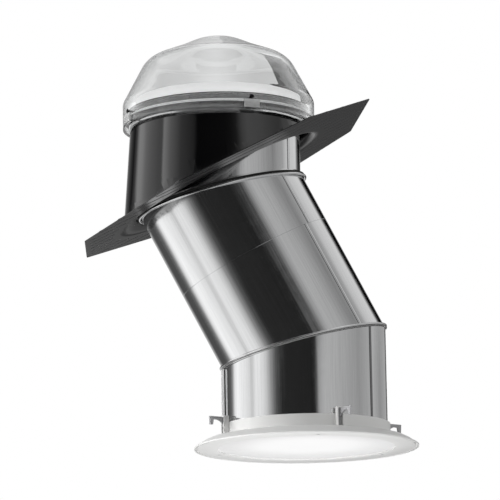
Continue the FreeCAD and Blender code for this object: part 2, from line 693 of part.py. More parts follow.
# Ceiling ring: collar, ledge and coned flange in one moulding
# The flange's slope: how far in from its rim and how far under its flat each step lies
FLANGE_STEPS = [(0.68, 0), (0.46, 3), (0.26, 9), (0.12, 15)]
flange_line = [(FLANGE_OUT + " - %g * flange_width" % share, "flange_rise - %g" % drop) for share, drop in FLANGE_STEPS]
under_line = [(out + " - 0.6 * flange_wall", rise + " - flange_wall") for out, rise in flange_line]
ceiling = turned("ceiling_ring_body", [
    (COLLAR_IN, "collar_top"), (COLLAR_OUT, "collar_top"), (COLLAR_OUT, "flange_rise")] + flange_line + [
    (FLANGE_OUT + " - 0.4 * flange_wall", "1.3 * rim_rise"), (FLANGE_OUT, "rim_rise"), (FLANGE_OUT, "0"),
    (FLANGE_OUT + " - flange_wall", "0"), (FLANGE_OUT + " - 1.5 * flange_wall", "rim_rise")] + under_line[::-1] + [
    (COLLAR_OUT, "flange_rise - flange_wall"), (COLLAR_OUT, "collar_foot"),
    (COLLAR_IN + " - ledge_width", "collar_foot"), (COLLAR_IN + " - ledge_width", "collar_foot + ledge_wall"),
    (COLLAR_IN, "collar_foot + ledge_wall")])

# Four clamp guides stand on the flange, each a post with an open channel for the clamp's boss
GUIDE_X = size(COLLAR_OUT) + D["guide_depth"] / 2
guide = Part.makeBox(
    D["guide_depth"] + 1, D["guide_width"], D["guide_top"] - D["flange_rise"] + 1,
    FreeCAD.Vector(size(COLLAR_OUT) - 0.5, -D["guide_width"] / 2, D["flange_rise"] - 1))
upright = [edge for edge in guide.Edges if abs(edge.tangentAt(0).z) > 0.99 and edge.CenterOfMass.x > GUIDE_X]
guide = guide.makeFillet(1.6, upright)
channel_rise = D["guide_top"] - D["guide_cap"] - D["flange_rise"]
channel_foot = FreeCAD.Vector(GUIDE_X, 0, D["flange_rise"])
channel = Part.makeCylinder(D["channel_radius"], channel_rise, channel_foot)
channel = channel.fuse(Part.makeBox(
    D["guide_depth"], 2 * D["channel_radius"], channel_rise,
    FreeCAD.Vector(GUIDE_X, -D["channel_radius"], D["flange_rise"])))
screw_bore = Part.makeCylinder(
    D["clamp_screw_radius"] + D["screw_gap"] / 2, D["guide_top"], FreeCAD.Vector(GUIDE_X, 0, 0))
guides = solid_feature("guides", Part.makeCompound(about_z(guide, D["clamp_count"], D["clamp_angle"])))
channels = solid_feature("channels", Part.makeCompound(
    about_z(channel.fuse(screw_bore), D["clamp_count"], D["clamp_angle"])))

# Bosses under the flange take the trim screws
boss_radius = 2.2 * D["trim_screw_radius"]
flange_under = D["flange_rise"] - D["flange_wall"]
boss = Part.makeCylinder(
    boss_radius, flange_under - D["trim_rise"],
    FreeCAD.Vector(size(SCREW_CIRCLE), 0, D["trim_rise"] + D["fit_gap"] / 3))
pilot = Part.makeCylinder(
    D["trim_screw_radius"] + D["screw_gap"] / 4, flange_under - D["trim_rise"] - D["flange_wall"],
    FreeCAD.Vector(size(SCREW_CIRCLE), 0, 0))
bosses = solid_feature("bosses", Part.makeCompound(about_z(boss, D["trim_screw_count"], D["trim_screw_angle"])))
pilots = solid_feature("pilots", Part.makeCompound(about_z(pilot, D["trim_screw_count"], D["trim_screw_angle"])))
ring_solid = fused("ceiling_ring_solid", [ceiling, guides, bosses])
keep("ceiling_ring", cut("ceiling_ring", cut("ceiling_ring_open", ring_solid, channels), pilots))


# Clamps: a boss that rides the screw and an arm with a barb that bites the ceiling board
def clamp_solid():
    """One clamp about its screw's axis, its arm towards +X before it swings to its stop."""
    top = D["clamp_top"]
    foot = top - D["clamp_rise"]
    reach = D["clamp_reach"]
    arm_foot = top - D["clamp_arm_rise"]
    profile = [
        (0, foot + 2), (7, foot + 4), (13, arm_foot - 3), (20, arm_foot),
        (reach - D["clamp_barb"] - 2, arm_foot), (reach - D["clamp_barb"], foot), (reach - 1, foot),
        (reach, top), (0, top)]
    points = [FreeCAD.Vector(x, -D["clamp_arm_width"] / 2, z) for x, z in profile]
    arm = Part.Face(Part.makePolygon(points + points[:1])).extrude(FreeCAD.Vector(0, D["clamp_arm_width"], 0))
    boss_piece = Part.makeCylinder(D["clamp_boss_radius"], D["clamp_rise"], FreeCAD.Vector(0, 0, foot))
    bore = Part.makeCylinder(
        D["clamp_screw_radius"] + D["screw_gap"] / 2, D["clamp_rise"] + 2, FreeCAD.Vector(0, 0, foot - 1))
    solid = arm.fuse(boss_piece).cut(bore).removeSplitter()
    solid.rotate(FreeCAD.Vector(0, 0, 0), FreeCAD.Vector(0, 0, 1), D["clamp_swing"])
    solid.translate(FreeCAD.Vector(GUIDE_X, 0, 0))
    return solid


for index, clamp in enumerate(about_z(clamp_solid(), D["clamp_count"], D["clamp_angle"]), start=1):
    keep("clamp_%d" % index, solid_feature("clamp_%d" % index, clamp))

clamp_screw = screw_solid(
    D["clamp_screw_radius"], 2.1 * D["clamp_screw_radius"], 2.4, D["guide_top"] - flange_under + 1.5)
clamp_screw.rotate(FreeCAD.Vector(0, 0, 0), FreeCAD.Vector(0, 1, 0), 90)
clamp_screw.translate(FreeCAD.Vector(GUIDE_X, 0, flange_under - D["fit_gap"] / 3))
keep("clamp_screws", solid_feature("clamp_screws", Part.makeCompound(
    about_z(clamp_screw, D["clamp_count"], D["clamp_angle"]))))

# Glazing: an inner pane on the ledge, the frosted diffuser, its gasket and the trim ring
keep("inner_pane", turned("inner_pane", [
    ("0", "collar_foot + ledge_wall"), (PANE_RADIUS, "collar_foot + ledge_wall"),
    (PANE_RADIUS, "collar_foot + ledge_wall + pane_wall"), ("0", "collar_foot + ledge_wall + pane_wall")]))
ledge_edge = COLLAR_IN + " - ledge_width"
keep("diffuser", turned("diffuser", [
    ("0", "trim_rise + diffuser_dish - diffuser_wall"),
    (ledge_edge + " - 4 * diffuser_dish", "trim_rise + diffuser_dish - diffuser_wall"),
    (ledge_edge + " - diffuser_wall", "trim_rise"), (DIFFUSER_OUT, "trim_rise"),
    (DIFFUSER_OUT, "trim_rise + diffuser_wall"),
    (ledge_edge + " - diffuser_wall - fit_gap", "trim_rise + diffuser_wall"),
    (ledge_edge + " - 4 * diffuser_dish - fit_gap", "trim_rise + diffuser_dish"),
    ("0", "trim_rise + diffuser_dish")]))
keep("diffuser_gasket", turned("diffuser_gasket", [
    (ledge_edge, "trim_rise + diffuser_wall"), (COLLAR_OUT, "trim_rise + diffuser_wall"),
    (COLLAR_OUT, "collar_foot"), (ledge_edge, "collar_foot")]))
trim = turned("trim_ring_body", [
    (TRIM_IN, "0"), (TRIM_OUT + " - 0.6 * trim_rise", "0"), (TRIM_OUT, "0.3 * trim_rise"),
    (TRIM_OUT, "trim_rise"), (TRIM_IN, "trim_rise")])
recess = Part.makeCylinder(
    D["trim_head_radius"] + D["screw_gap"], D["trim_head_rise"] + 0.3, FreeCAD.Vector(size(SCREW_CIRCLE), 0, 0))
recess = recess.fuse(Part.makeCylinder(
    D["trim_screw_radius"] + D["screw_gap"], D["trim_rise"] + 2, FreeCAD.Vector(size(SCREW_CIRCLE), 0, 0)))
recesses = solid_feature("recesses", Part.makeCompound(
    about_z(recess, D["trim_screw_count"], D["trim_screw_angle"])))
keep("trim_ring", cut("trim_ring", trim, recesses))
trim_screw = screw_solid(D["trim_screw_radius"], D["trim_head_radius"], D["trim_head_rise"], 11)
trim_screw.rotate(FreeCAD.Vector(0, 0, 0), FreeCAD.Vector(0, 1, 0), 90)
trim_screw.translate(FreeCAD.Vector(size(SCREW_CIRCLE), 0, D["trim_head_rise"] + 0.3))
keep("trim_screws", solid_feature("trim_screws", Part.makeCompound(
    about_z(trim_screw, D["trim_screw_count"], D["trim_screw_angle"]))))

# Every object is checked before any file is written
doc.recompute()
for item in doc.Objects:
    if "Invalid" in item.State or "Error" in item.State:
        raise RuntimeError("%s is %s" % (item.Label, item.State))
for label, item in PARTS.items():
    if item.Shape.isNull() or not item.Shape.isValid():
        raise RuntimeError("%s has no valid shape" % label)
os.makedirs("parts", exist_ok=True)
for label, item in PARTS.items():
    item.Shape.exportStep("parts/%s.step" % label)
    print(label, len(item.Shape.Solids), round(item.Shape.Volume))
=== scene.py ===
import math

import bmesh
import bpy
from mathutils import Matrix, Vector


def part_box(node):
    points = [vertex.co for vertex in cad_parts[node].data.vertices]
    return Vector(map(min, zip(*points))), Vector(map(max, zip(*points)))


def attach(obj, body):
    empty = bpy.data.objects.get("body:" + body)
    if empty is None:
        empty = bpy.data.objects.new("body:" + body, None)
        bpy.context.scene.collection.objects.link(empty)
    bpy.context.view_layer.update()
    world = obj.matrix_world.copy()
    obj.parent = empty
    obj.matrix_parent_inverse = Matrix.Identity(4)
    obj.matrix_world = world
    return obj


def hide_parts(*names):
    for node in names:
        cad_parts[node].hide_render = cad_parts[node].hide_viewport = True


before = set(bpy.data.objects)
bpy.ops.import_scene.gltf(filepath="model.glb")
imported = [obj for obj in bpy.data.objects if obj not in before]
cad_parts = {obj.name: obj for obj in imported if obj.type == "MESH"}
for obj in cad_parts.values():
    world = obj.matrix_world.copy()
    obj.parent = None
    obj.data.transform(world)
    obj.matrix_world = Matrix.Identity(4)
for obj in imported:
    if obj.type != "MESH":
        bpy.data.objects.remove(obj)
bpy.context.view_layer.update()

SKYLIGHT = "skylight"

# Camera
# A long lens from below the ceiling ring, looking up along the tube. The frame is 500 by 500.
FOCAL_PIXELS = 4040.0
FRAME_PIXELS = 500
CAMERA_PLACE = Vector((-1.0269, -8.5110, -1.1967))
CAMERA_HEADING = math.radians(6.12)
CAMERA_PITCH = math.radians(10.77)
CAMERA_ROLL = math.radians(-1.0)

camera_data = bpy.data.cameras.new("camera")
camera_data.sensor_width = 36.0
camera_data.lens = camera_data.sensor_width * FOCAL_PIXELS / FRAME_PIXELS
camera_data.clip_end = 200.0
camera = bpy.data.objects.new("camera", camera_data)
forward = Vector((math.sin(CAMERA_HEADING) * math.cos(CAMERA_PITCH),
                  math.cos(CAMERA_HEADING) * math.cos(CAMERA_PITCH),
                  math.sin(CAMERA_PITCH)))
level_right = Vector((math.cos(CAMERA_HEADING), -math.sin(CAMERA_HEADING), 0.0))
level_up = level_right.cross(forward)
camera_right = level_right * math.cos(CAMERA_ROLL) + level_up * math.sin(CAMERA_ROLL)
camera_up = level_up * math.cos(CAMERA_ROLL) - level_right * math.sin(CAMERA_ROLL)
turn = Matrix((camera_right, camera_up, -forward)).transposed().to_4x4()
camera.matrix_world = Matrix.Translation(CAMERA_PLACE) @ turn
bpy.context.scene.collection.objects.link(camera)
bpy.context.scene.camera = camera
bpy.context.scene.view_settings.view_transform = "Standard"

# Studio
# A white room for the camera, with the tall panels and dark gaps that bright metal mirrors: each
# list gives bearings from the camera's side, in degrees, and how bright the room is there.
NEAR_LEVEL = [
    (-180, 0.8), (-168, 0.5), (-160, 0.3), (-154, 0.08), (-138, 0.08), (-130, 0.13), (-125, 0.3), (-119, 0.9),
    (-112, 1.1), (-89, 0.88), (-81, 0.65), (-75, 0.92), (-68, 0.9), (-60, 0.78), (-54, 0.55),
    (-49, 0.3), (-42, 0.09), (-34, 0.022), (9, 0.016), (14, 0.02), (19, 0.4), (26, 0.5),
    (72, 0.37), (82, 0.33), (92, 0.38), (110, 0.46), (130, 0.31), (152, 0.42), (157, 0.42), (161, 0.02), (167, 0.02), (171, 0.9)]
RAISED = [
    (-180, 0.8), (-160, 0.2), (-138, 0.01), (-130, 0.2), (-122, 1.1), (-114, 1.1), (-106, 0.75), (-98, 0.6),
    (-82, 0.4), (-77, 0.4), (-75, 1.3), (-65, 0.68), (-49, 0.23), (-40, 0.16), (-32, 0.1), (-27, 0.0),
    (9, 0.016), (16, 0.03), (23, 0.07), (31, 0.35), (38, 0.47), (55, 0.42), (73, 0.3), (83, 0.24),
    (92, 0.33), (102, 0.37), (111, 0.6), (139, 0.72), (146, 0.12), (151, 0.0), (165, 0.0), (171, 0.4)]
LEVEL_BEHIND = [(-180, 0.45), (-150, 0.4), (165, 0.07), (172, 0.085), (176.5, 0.34)]
BEHIND_FROM = 163
CAMERA_SIDE = math.radians(96.5)
NEAR_LEVEL_TOP = math.sin(math.radians(9.5))
RAISED_FOOT = math.sin(math.radians(12.0))

world = bpy.data.worlds.new("studio")
bpy.context.scene.world = world
world.use_nodes = True
tree = world.node_tree
tree.nodes.clear()
links = tree.links
place = tree.nodes.new("ShaderNodeTexCoord")
swing = tree.nodes.new("ShaderNodeVectorRotate")
swing.rotation_type = "Z_AXIS"
swing.inputs["Angle"].default_value = CAMERA_SIDE
split = tree.nodes.new("ShaderNodeSeparateXYZ")
bearing = tree.nodes.new("ShaderNodeMath")
bearing.operation = "ARCTAN2"
share = tree.nodes.new("ShaderNodeMapRange")
share.inputs["From Min"].default_value = -math.pi
share.inputs["From Max"].default_value = math.pi
links.new(place.outputs["Generated"], swing.inputs["Vector"])
links.new(swing.outputs["Vector"], split.inputs["Vector"])
links.new(split.outputs["Y"], bearing.inputs[0])
links.new(split.outputs["X"], bearing.inputs[1])
links.new(bearing.outputs["Value"], share.inputs["Value"])


def panel_light(stops):
    """A background whose brightness follows the bearing."""
    ramp = tree.nodes.new("ShaderNodeValToRGB").color_ramp
    ramp.interpolation = "LINEAR"
    first, last = ramp.elements[0], ramp.elements[1]
    first.position = (stops[0][0] + 180) / 360
    first.color = (stops[0][1], stops[0][1], stops[0][1], 1)
    last.position = (stops[-1][0] + 180) / 360
    last.color = (stops[-1][1], stops[-1][1], stops[-1][1], 1)
    for angle, level in stops[1:-1]:
        ramp.elements.new((angle + 180) / 360).color = (level, level, level, 1)
    ramp_node = tree.nodes[-1]
    light = tree.nodes.new("ShaderNodeBackground")
    links.new(share.outputs["Result"], ramp_node.inputs["Fac"])
    links.new(ramp_node.outputs["Color"], light.inputs["Color"])
    return light


near_light = panel_light(NEAR_LEVEL)
raised_light = panel_light(RAISED)
behind_light = panel_light(LEVEL_BEHIND)
behind = tree.nodes.new("ShaderNodeMapRange")
behind.inputs["From Min"].default_value = (BEHIND_FROM + 180) / 360
behind.inputs["From Max"].default_value = (BEHIND_FROM + 182) / 360
low = tree.nodes.new("ShaderNodeMapRange")
low.inputs["From Min"].default_value = math.sin(math.radians(6.5))
low.inputs["From Max"].default_value = math.sin(math.radians(4.0))
low_behind = tree.nodes.new("ShaderNodeMath")
low_behind.operation = "MULTIPLY"
low_light = tree.nodes.new("ShaderNodeMixShader")
links.new(share.outputs["Result"], behind.inputs["Value"])
links.new(split.outputs["Z"], low.inputs["Value"])
links.new(behind.outputs["Result"], low_behind.inputs[0])
links.new(low.outputs["Result"], low_behind.inputs[1])
links.new(low_behind.outputs["Value"], low_light.inputs["Fac"])
links.new(near_light.outputs["Background"], low_light.inputs[1])
links.new(behind_light.outputs["Background"], low_light.inputs[2])
climb = tree.nodes.new("ShaderNodeMapRange")
climb.inputs["From Min"].default_value = NEAR_LEVEL_TOP
climb.inputs["From Max"].default_value = RAISED_FOOT
mirrored = tree.nodes.new("ShaderNodeMixShader")
links.new(split.outputs["Z"], climb.inputs["Value"])
links.new(climb.outputs["Result"], mirrored.inputs["Fac"])
links.new(low_light.outputs["Shader"], mirrored.inputs[1])
links.new(raised_light.outputs["Background"], mirrored.inputs[2])
overhead_light = tree.nodes.new("ShaderNodeBackground")
overhead_light.inputs["Color"].default_value = (0.8, 0.8, 0.8, 1)
overhead = tree.nodes.new("ShaderNodeMapRange")
overhead.inputs["From Min"].default_value = math.sin(math.radians(48))
overhead.inputs["From Max"].default_value = math.sin(math.radians(62))
room = tree.nodes.new("ShaderNodeMixShader")
links.new(split.outputs["Z"], overhead.inputs["Value"])
links.new(overhead.outputs["Result"], room.inputs["Fac"])
links.new(mirrored.outputs["Shader"], room.inputs[1])
links.new(overhead_light.outputs["Background"], room.inputs[2])
plain = tree.nodes.new("ShaderNodeBackground")
plain.inputs["Color"].default_value = (1, 1, 1, 1)
plain.inputs["Strength"].default_value = 0.36
white = tree.nodes.new("ShaderNodeBackground")
white.inputs["Color"].default_value = (1, 1, 1, 1)
rays = tree.nodes.new("ShaderNodeLightPath")
gloss_or_plain = tree.nodes.new("ShaderNodeMixShader")
seen_or_lit = tree.nodes.new("ShaderNodeMixShader")
seen = tree.nodes.new("ShaderNodeMath")
seen.operation = "MAXIMUM"
output = tree.nodes.new("ShaderNodeOutputWorld")
links.new(rays.outputs["Is Glossy Ray"], gloss_or_plain.inputs["Fac"])
links.new(plain.outputs["Background"], gloss_or_plain.inputs[1])
links.new(room.outputs["Shader"], gloss_or_plain.inputs[2])
links.new(rays.outputs["Is Camera Ray"], seen.inputs[0])
links.new(rays.outputs["Is Transmission Ray"], seen.inputs[1])
links.new(seen.outputs["Value"], seen_or_lit.inputs["Fac"])
links.new(gloss_or_plain.outputs["Shader"], seen_or_lit.inputs[1])
links.new(white.outputs["Background"], seen_or_lit.inputs[2])
links.new(seen_or_lit.outputs["Shader"], output.inputs["Surface"])

LAMPS = [
    ("key", (-3.5, 0.1, 1.2), 2.0, 108.0),
    ("fill", (2.6, -2.2, 0.6), 2.2, 14.0),
    ("back", (0.6, 2.6, 2.6), 2.0, 50.0),
    ("under", (-0.3, -1.6, -2.2), 1.6, 50.0)]
middle = Vector((-0.09, 0.0, 0.45))
for name, spot, width, watts in LAMPS:
    lamp_data = bpy.data.lights.new(name, "AREA")
    lamp_data.shape = "DISK"
    lamp_data.size = width
    lamp_data.energy = watts
    lamp = bpy.data.objects.new(name, lamp_data)
    lamp.location = spot
    lamp.rotation_mode = "QUATERNION"
    lamp.rotation_quaternion = (Vector(spot) - middle).to_track_quat("Z", "Y")
    lamp.visible_glossy = False
    lamp.visible_transmission = False
    bpy.context.scene.collection.objects.link(lamp)

FLOOR_REACH = 14.0
floor_mesh = bpy.data.meshes.new("floor")
corners = [(-1, -1), (1, -1), (1, 1), (-1, 1)]
floor_mesh.from_pydata([(x * FLOOR_REACH, y * FLOOR_REACH, -0.0005) for x, y in corners], [], [(0, 1, 2, 3)])
floor = bpy.data.objects.new("floor", floor_mesh)
bpy.context.scene.collection.objects.link(floor)
floor.visible_shadow = False
floor.visible_diffuse = False
floor.visible_glossy = False
floor.visible_transmission = False
floor_finish = bpy.data.materials.new("pale_floor")
floor_finish.use_nodes = True
tree = floor_finish.node_tree
tree.nodes.clear()
matt = tree.nodes.new("ShaderNodeBsdfDiffuse")
matt.inputs["Color"].default_value = (0.25, 0.25, 0.25, 1)
glow = tree.nodes.new("ShaderNodeEmission")
glow.inputs["Strength"].default_value = 0.8
lit = tree.nodes.new("ShaderNodeAddShader")
clear = tree.nodes.new("ShaderNodeBsdfTransparent")
side = tree.nodes.new("ShaderNodeNewGeometry")
choose = tree.nodes.new("ShaderNodeMixShader")
output = tree.nodes.new("ShaderNodeOutputMaterial")
tree.links.new(matt.outputs["BSDF"], lit.inputs[0])
tree.links.new(glow.outputs["Emission"], lit.inputs[1])
tree.links.new(side.outputs["Backfacing"], choose.inputs["Fac"])
tree.links.new(lit.outputs["Shader"], choose.inputs[1])
tree.links.new(clear.outputs["BSDF"], choose.inputs[2])
tree.links.new(choose.outputs["Shader"], output.inputs["Surface"])
floor_mesh.materials.append(floor_finish)

# Cards behind the dome
# Pale grey cards and a black flag stand behind the object. Only the clear dome shows them.
CARD_DISTANCE = 0.6
CARD_TOP = 1.16
CARD_LEFT = -0.36
CARD_RIGHT = 0.16
CARD_FOOT = 0.90
FLAG_EDGE = [(0.05, CARD_FOOT), (0.03855, 0.9307), (0.00716, 1.0082), (-0.013, 1.057)]
FLAG_END = [(0.3, 1.057), (0.3, CARD_FOOT)]
CARD_LEVELS = [(-0.34, 0.72), (-0.3, 0.62), (-0.26, 0.58), (-0.229, 0.6), (-0.194, 0.6), (-0.147, 0.72), (-0.124, 0.75),
               (-0.1005, 0.72), (-0.065, 0.62), (-0.030, 0.56), (0.02, 0.6), (0.1, 0.7)]


def card(name, outline):
    """A flat card with an emission shader, seen by transmission rays alone."""
    mesh = bpy.data.meshes.new(name)
    mesh.from_pydata([(x, CARD_DISTANCE, z) for x, z in outline], [], [tuple(range(len(outline)))])
    item = bpy.data.objects.new(name, mesh)
    bpy.context.scene.collection.objects.link(item)
    item.visible_camera = False
    item.visible_diffuse = False
    item.visible_glossy = False
    item.visible_shadow = False
    material = bpy.data.materials.new(name)
    material.use_nodes = True
    material.node_tree.nodes.clear()
    light = material.node_tree.nodes.new("ShaderNodeEmission")
    light.inputs["Color"].default_value = (0.004, 0.004, 0.004, 1)
    end = material.node_tree.nodes.new("ShaderNodeOutputMaterial")
    material.node_tree.links.new(light.outputs["Emission"], end.inputs["Surface"])
    mesh.materials.append(material)
    return material.node_tree, light


card("black_flag", FLAG_EDGE[::-1] + FLAG_END)
card_tree, card_light = card("grey_card", FLAG_EDGE + [
    (CARD_RIGHT, 1.057), (CARD_RIGHT, CARD_TOP), (CARD_LEFT, CARD_TOP), (CARD_LEFT, CARD_FOOT)])
card_place = card_tree.nodes.new("ShaderNodeTexCoord")
card_split = card_tree.nodes.new("ShaderNodeSeparateXYZ")
card_share = card_tree.nodes.new("ShaderNodeMapRange")
card_share.inputs["From Min"].default_value = CARD_LEVELS[0][0]
card_share.inputs["From Max"].default_value = CARD_LEVELS[-1][0]
card_node = card_tree.nodes.new("ShaderNodeValToRGB")
card_width = CARD_LEVELS[-1][0] - CARD_LEVELS[0][0]
for x, level in CARD_LEVELS[1:-1]:
    card_node.color_ramp.elements.new((x - CARD_LEVELS[0][0]) / card_width).color = (level, level, level, 1)
for end, (x, level) in ((0, CARD_LEVELS[0]), (-1, CARD_LEVELS[-1])):
    card_node.color_ramp.elements[end].color = (level, level, level, 1)
card_tree.links.new(card_place.outputs["Object"], card_split.inputs["Vector"])
card_tree.links.new(card_split.outputs["X"], card_share.inputs["Value"])
card_tree.links.new(card_share.outputs["Result"], card_node.inputs["Fac"])
card_tree.links.new(card_node.outputs["Color"], card_light.inputs["Color"])

# Dome
# One blown shell of clear acrylic, 3 mm thick: an upright skirt, a coned side and a raised cap.
# It stands on the base ring and four screws hold it through the skirt.
BEND = math.radians(27.5)
SLANT_LENGTH = 0.385
AXIS_X = -SLANT_LENGTH * math.sin(BEND)
DOME_BOTTOM = 0.701
DOME_RADIUS = 0.2076
DOME_WALL = 0.003
DOME_CORNERS = [
    (DOME_RADIUS, 0.0, 0.0), (DOME_RADIUS, 0.052, 0.024), (0.15632, 0.1485, 0.058), (0.08719, 0.176, 0.060),
    (0.03425, 0.2005, 0.124), (0.0, 0.2005, 0.0)]


def rounded_line(corners, steps=10):
    """Points of a line through corners of radius, height and rounding."""
    points = [Vector(corners[0][:2])]
    for before, here, after in zip(corners, corners[1:], corners[2:]):
        point = Vector(here[:2])
        back = (Vector(before[:2]) - point).normalized()
        ahead = (Vector(after[:2]) - point).normalized()
        half = back.angle(ahead) / 2
        if here[2] == 0:
            points.append(point)
            continue
        centre = point + (back + ahead).normalized() * (here[2] / math.sin(half))
        start = point + back * (here[2] / math.tan(half)) - centre
        end = point + ahead * (here[2] / math.tan(half)) - centre
        for index in range(steps + 1):
            mixed = start.lerp(end, index / steps).normalized() * here[2]
            points.append(centre + mixed)
    points.append(Vector(corners[-1][:2]))
    return points


def inside_line(corners, wall):
    """The same corners moved in by a wall, with roundings that keep the wall even."""
    slopes = [math.atan2(b[1] - a[1], b[0] - a[0]) for a, b in zip(corners, corners[1:])]
    moved = [(corners[0][0] - wall, corners[0][1], 0.0)]
    for index in range(1, len(corners) - 1):
        turning = (slopes[index] - slopes[index - 1]) / 2
        heading = (slopes[index] + slopes[index - 1]) / 2 + math.pi / 2
        reach = wall / math.cos(turning)
        moved.append((corners[index][0] + reach * math.cos(heading),
                      corners[index][1] + reach * math.sin(heading),
                      corners[index][2] + (wall if turning < 0 else -wall)))
    return moved + [(0.0, corners[-1][1] - wall, 0.0)]


def soften(mesh, limit=28, kind=None):
    """Welds a mesh, points its faces outwards and keeps sharp its real edges and those between kinds."""
    shape = bmesh.new()
    shape.from_mesh(mesh)
    bmesh.ops.remove_doubles(shape, verts=shape.verts, dist=2e-6)
    bmesh.ops.dissolve_degenerate(shape, edges=shape.edges, dist=1e-6)
    bmesh.ops.recalc_face_normals(shape, faces=shape.faces)
    for face in shape.faces:
        face.smooth = True
    for edge in shape.edges:
        edge.smooth = not (edge.is_manifold and edge.calc_face_angle(0) > math.radians(limit))
        if kind and edge.is_manifold and len({kind(face.normal) for face in edge.link_faces}) > 1:
            edge.smooth = False
    shape.to_mesh(mesh)
    shape.free()


def piece(name, mesh, finish, body=SKYLIGHT):
    """A finished piece of the object, riding on its body."""
    item = bpy.data.objects.new(name, mesh)
    bpy.context.scene.collection.objects.link(item)
    mesh.materials.clear()
    mesh.materials.append(finish)
    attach(item, body)
    return item


def turned_mesh(name, outline, centre=(0.0, 0.0), segments=192):
    """A mesh turned about an upright axis from a closed outline of radii and heights."""
    verts = []
    faces = []
    count = len(outline)
    for index in range(segments):
        angle = 2 * math.pi * index / segments
        for radius, height in outline:
            verts.append((centre[0] + radius * math.cos(angle), centre[1] + radius * math.sin(angle), height))
    for index in range(segments):
        here, there = index * count, (index + 1) % segments * count
        for place in range(count):
            following = (place + 1) % count
            on_axis = (outline[place][0] == 0, outline[following][0] == 0)
            if on_axis == (False, False):
                faces.append((here + place, there + place, there + following, here + following))
            elif on_axis == (True, False):
                faces.append((here + place, there + following, here + following))
            elif on_axis == (False, True):
                faces.append((here + place, there + place, here + following))
    mesh = bpy.data.meshes.new(name)
    mesh.from_pydata(verts, [], faces)
    soften(mesh)
    return mesh


def finish_of(name, colour, roughness, metallic=0.0):
    """A material with one Principled shader, and the shader."""
    material = bpy.data.materials.new(name)
    material.use_nodes = True
    shader = material.node_tree.nodes["Principled BSDF"]
    shader.inputs["Base Color"].default_value = (*colour, 1)
    shader.inputs["Roughness"].default_value = roughness
    shader.inputs["Metallic"].default_value = metallic
    return material, shader


def grain_group():
    """Shader group: a fine grain and a broad unevenness, each as a value from 0 to 1."""
    group = bpy.data.node_groups.new("moulded_grain", "ShaderNodeTree")
    face = group.interface
    for label, value in (("Fine Scale", 900.0), ("Broad Scale", 9.0)):
        socket = face.new_socket(label, in_out="INPUT", socket_type="NodeSocketFloat")
        socket.default_value = value
    for label in ("Fine", "Broad"):
        face.new_socket(label, in_out="OUTPUT", socket_type="NodeSocketFloat")
    inside = group.nodes.new("NodeGroupInput")
    outside = group.nodes.new("NodeGroupOutput")
    where = group.nodes.new("ShaderNodeTexCoord")
    for label, detail in (("Fine", 3.0), ("Broad", 4.0)):
        noise = group.nodes.new("ShaderNodeTexNoise")
        noise.inputs["Detail"].default_value = detail
        group.links.new(where.outputs["Object"], noise.inputs["Vector"])
        group.links.new(inside.outputs[label + " Scale"], noise.inputs["Scale"])
        group.links.new(noise.outputs["Fac"], outside.inputs[label])
    return group


GRAIN = grain_group()


def grained(material, shader, fine_scale, broad_scale, bump, rough_low, rough_high):
    """Adds a fine grain to the surface and lets its roughness drift between two values."""
    tree = material.node_tree
    grain = tree.nodes.new("ShaderNodeGroup")
    grain.node_tree = GRAIN
    grain.inputs["Fine Scale"].default_value = fine_scale
    grain.inputs["Broad Scale"].default_value = broad_scale
    drift = tree.nodes.new("ShaderNodeMapRange")
    drift.inputs["From Min"].default_value = 0.3
    drift.inputs["From Max"].default_value = 0.7
    drift.inputs["To Min"].default_value = rough_low
    drift.inputs["To Max"].default_value = rough_high
    relief = tree.nodes.new("ShaderNodeBump")
    relief.inputs["Strength"].default_value = bump
    relief.inputs["Distance"].default_value = 0.0004
    tree.links.new(grain.outputs["Broad"], drift.inputs["Value"])
    tree.links.new(drift.outputs["Result"], shader.inputs["Roughness"])
    tree.links.new(grain.outputs["Fine"], relief.inputs["Height"])
    tree.links.new(relief.outputs["Normal"], shader.inputs["Normal"])
    return grain


def clear_acrylic(name, tint, rough_low, rough_high, ior=1.49):
    """Clear acrylic with a painted dark edge: its colour darkens to grey where the eye glances along its wall."""
    material, shader = finish_of(name, tint, rough_low)
    shader.inputs["Transmission Weight"].default_value = 1.0
    shader.inputs["IOR"].default_value = ior
    grained(material, shader, 60.0, 7.0, 0.03, rough_low, rough_high)
    tree = material.node_tree
    glance = tree.nodes.new("ShaderNodeLayerWeight")
    glance.inputs["Blend"].default_value = 0.5
    edge = tree.nodes.new("ShaderNodeMapRange")
    edge.inputs["From Min"].default_value = 0.62
    edge.inputs["From Max"].default_value = 0.97
    # Painted shade: towards a glancing view the base colour is mixed to dark grey.
    painted_edge_shade = tree.nodes.new("ShaderNodeMix")
    painted_edge_shade.data_type = "RGBA"
    colours = [socket for socket in painted_edge_shade.inputs if socket.type == "RGBA"]
    colours[0].default_value = (*tint, 1)
    colours[1].default_value = (0.2, 0.205, 0.21, 1)
    shade = [socket for socket in painted_edge_shade.outputs if socket.type == "RGBA"][0]
    tree.links.new(glance.outputs["Facing"], edge.inputs["Value"])
    tree.links.new(edge.outputs["Result"], painted_edge_shade.inputs["Factor"])
    tree.links.new(shade, shader.inputs["Base Color"])
    return material


dome_line = rounded_line(DOME_CORNERS)
dome_inner = rounded_line(inside_line(DOME_CORNERS, DOME_WALL))
dome_outline = [(r, z + DOME_BOTTOM) for r, z in dome_line + dome_inner[::-1]]
dome_finish = clear_acrylic("dome_acrylic", (0.985, 0.99, 0.99), 0.0, 0.02)
dome = piece("dome_shell", turned_mesh("dome_shell", dome_outline, (AXIS_X, 0.0), 256),
             dome_finish)
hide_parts("dome")


# Base ring of the dome
# A clear moulding that hooks over the upstand's rim. The dome's skirt stands on its outer flange.
def cad_copy(name, node, finish, body=SKYLIGHT, kind=None):
    """A welded, smooth copy of a CAD node that stands for it."""
    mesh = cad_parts[node].data.copy()
    mesh.name = name
    soften(mesh, kind=kind)
    item = piece(name, mesh, finish, body)
    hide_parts(node)
    return item


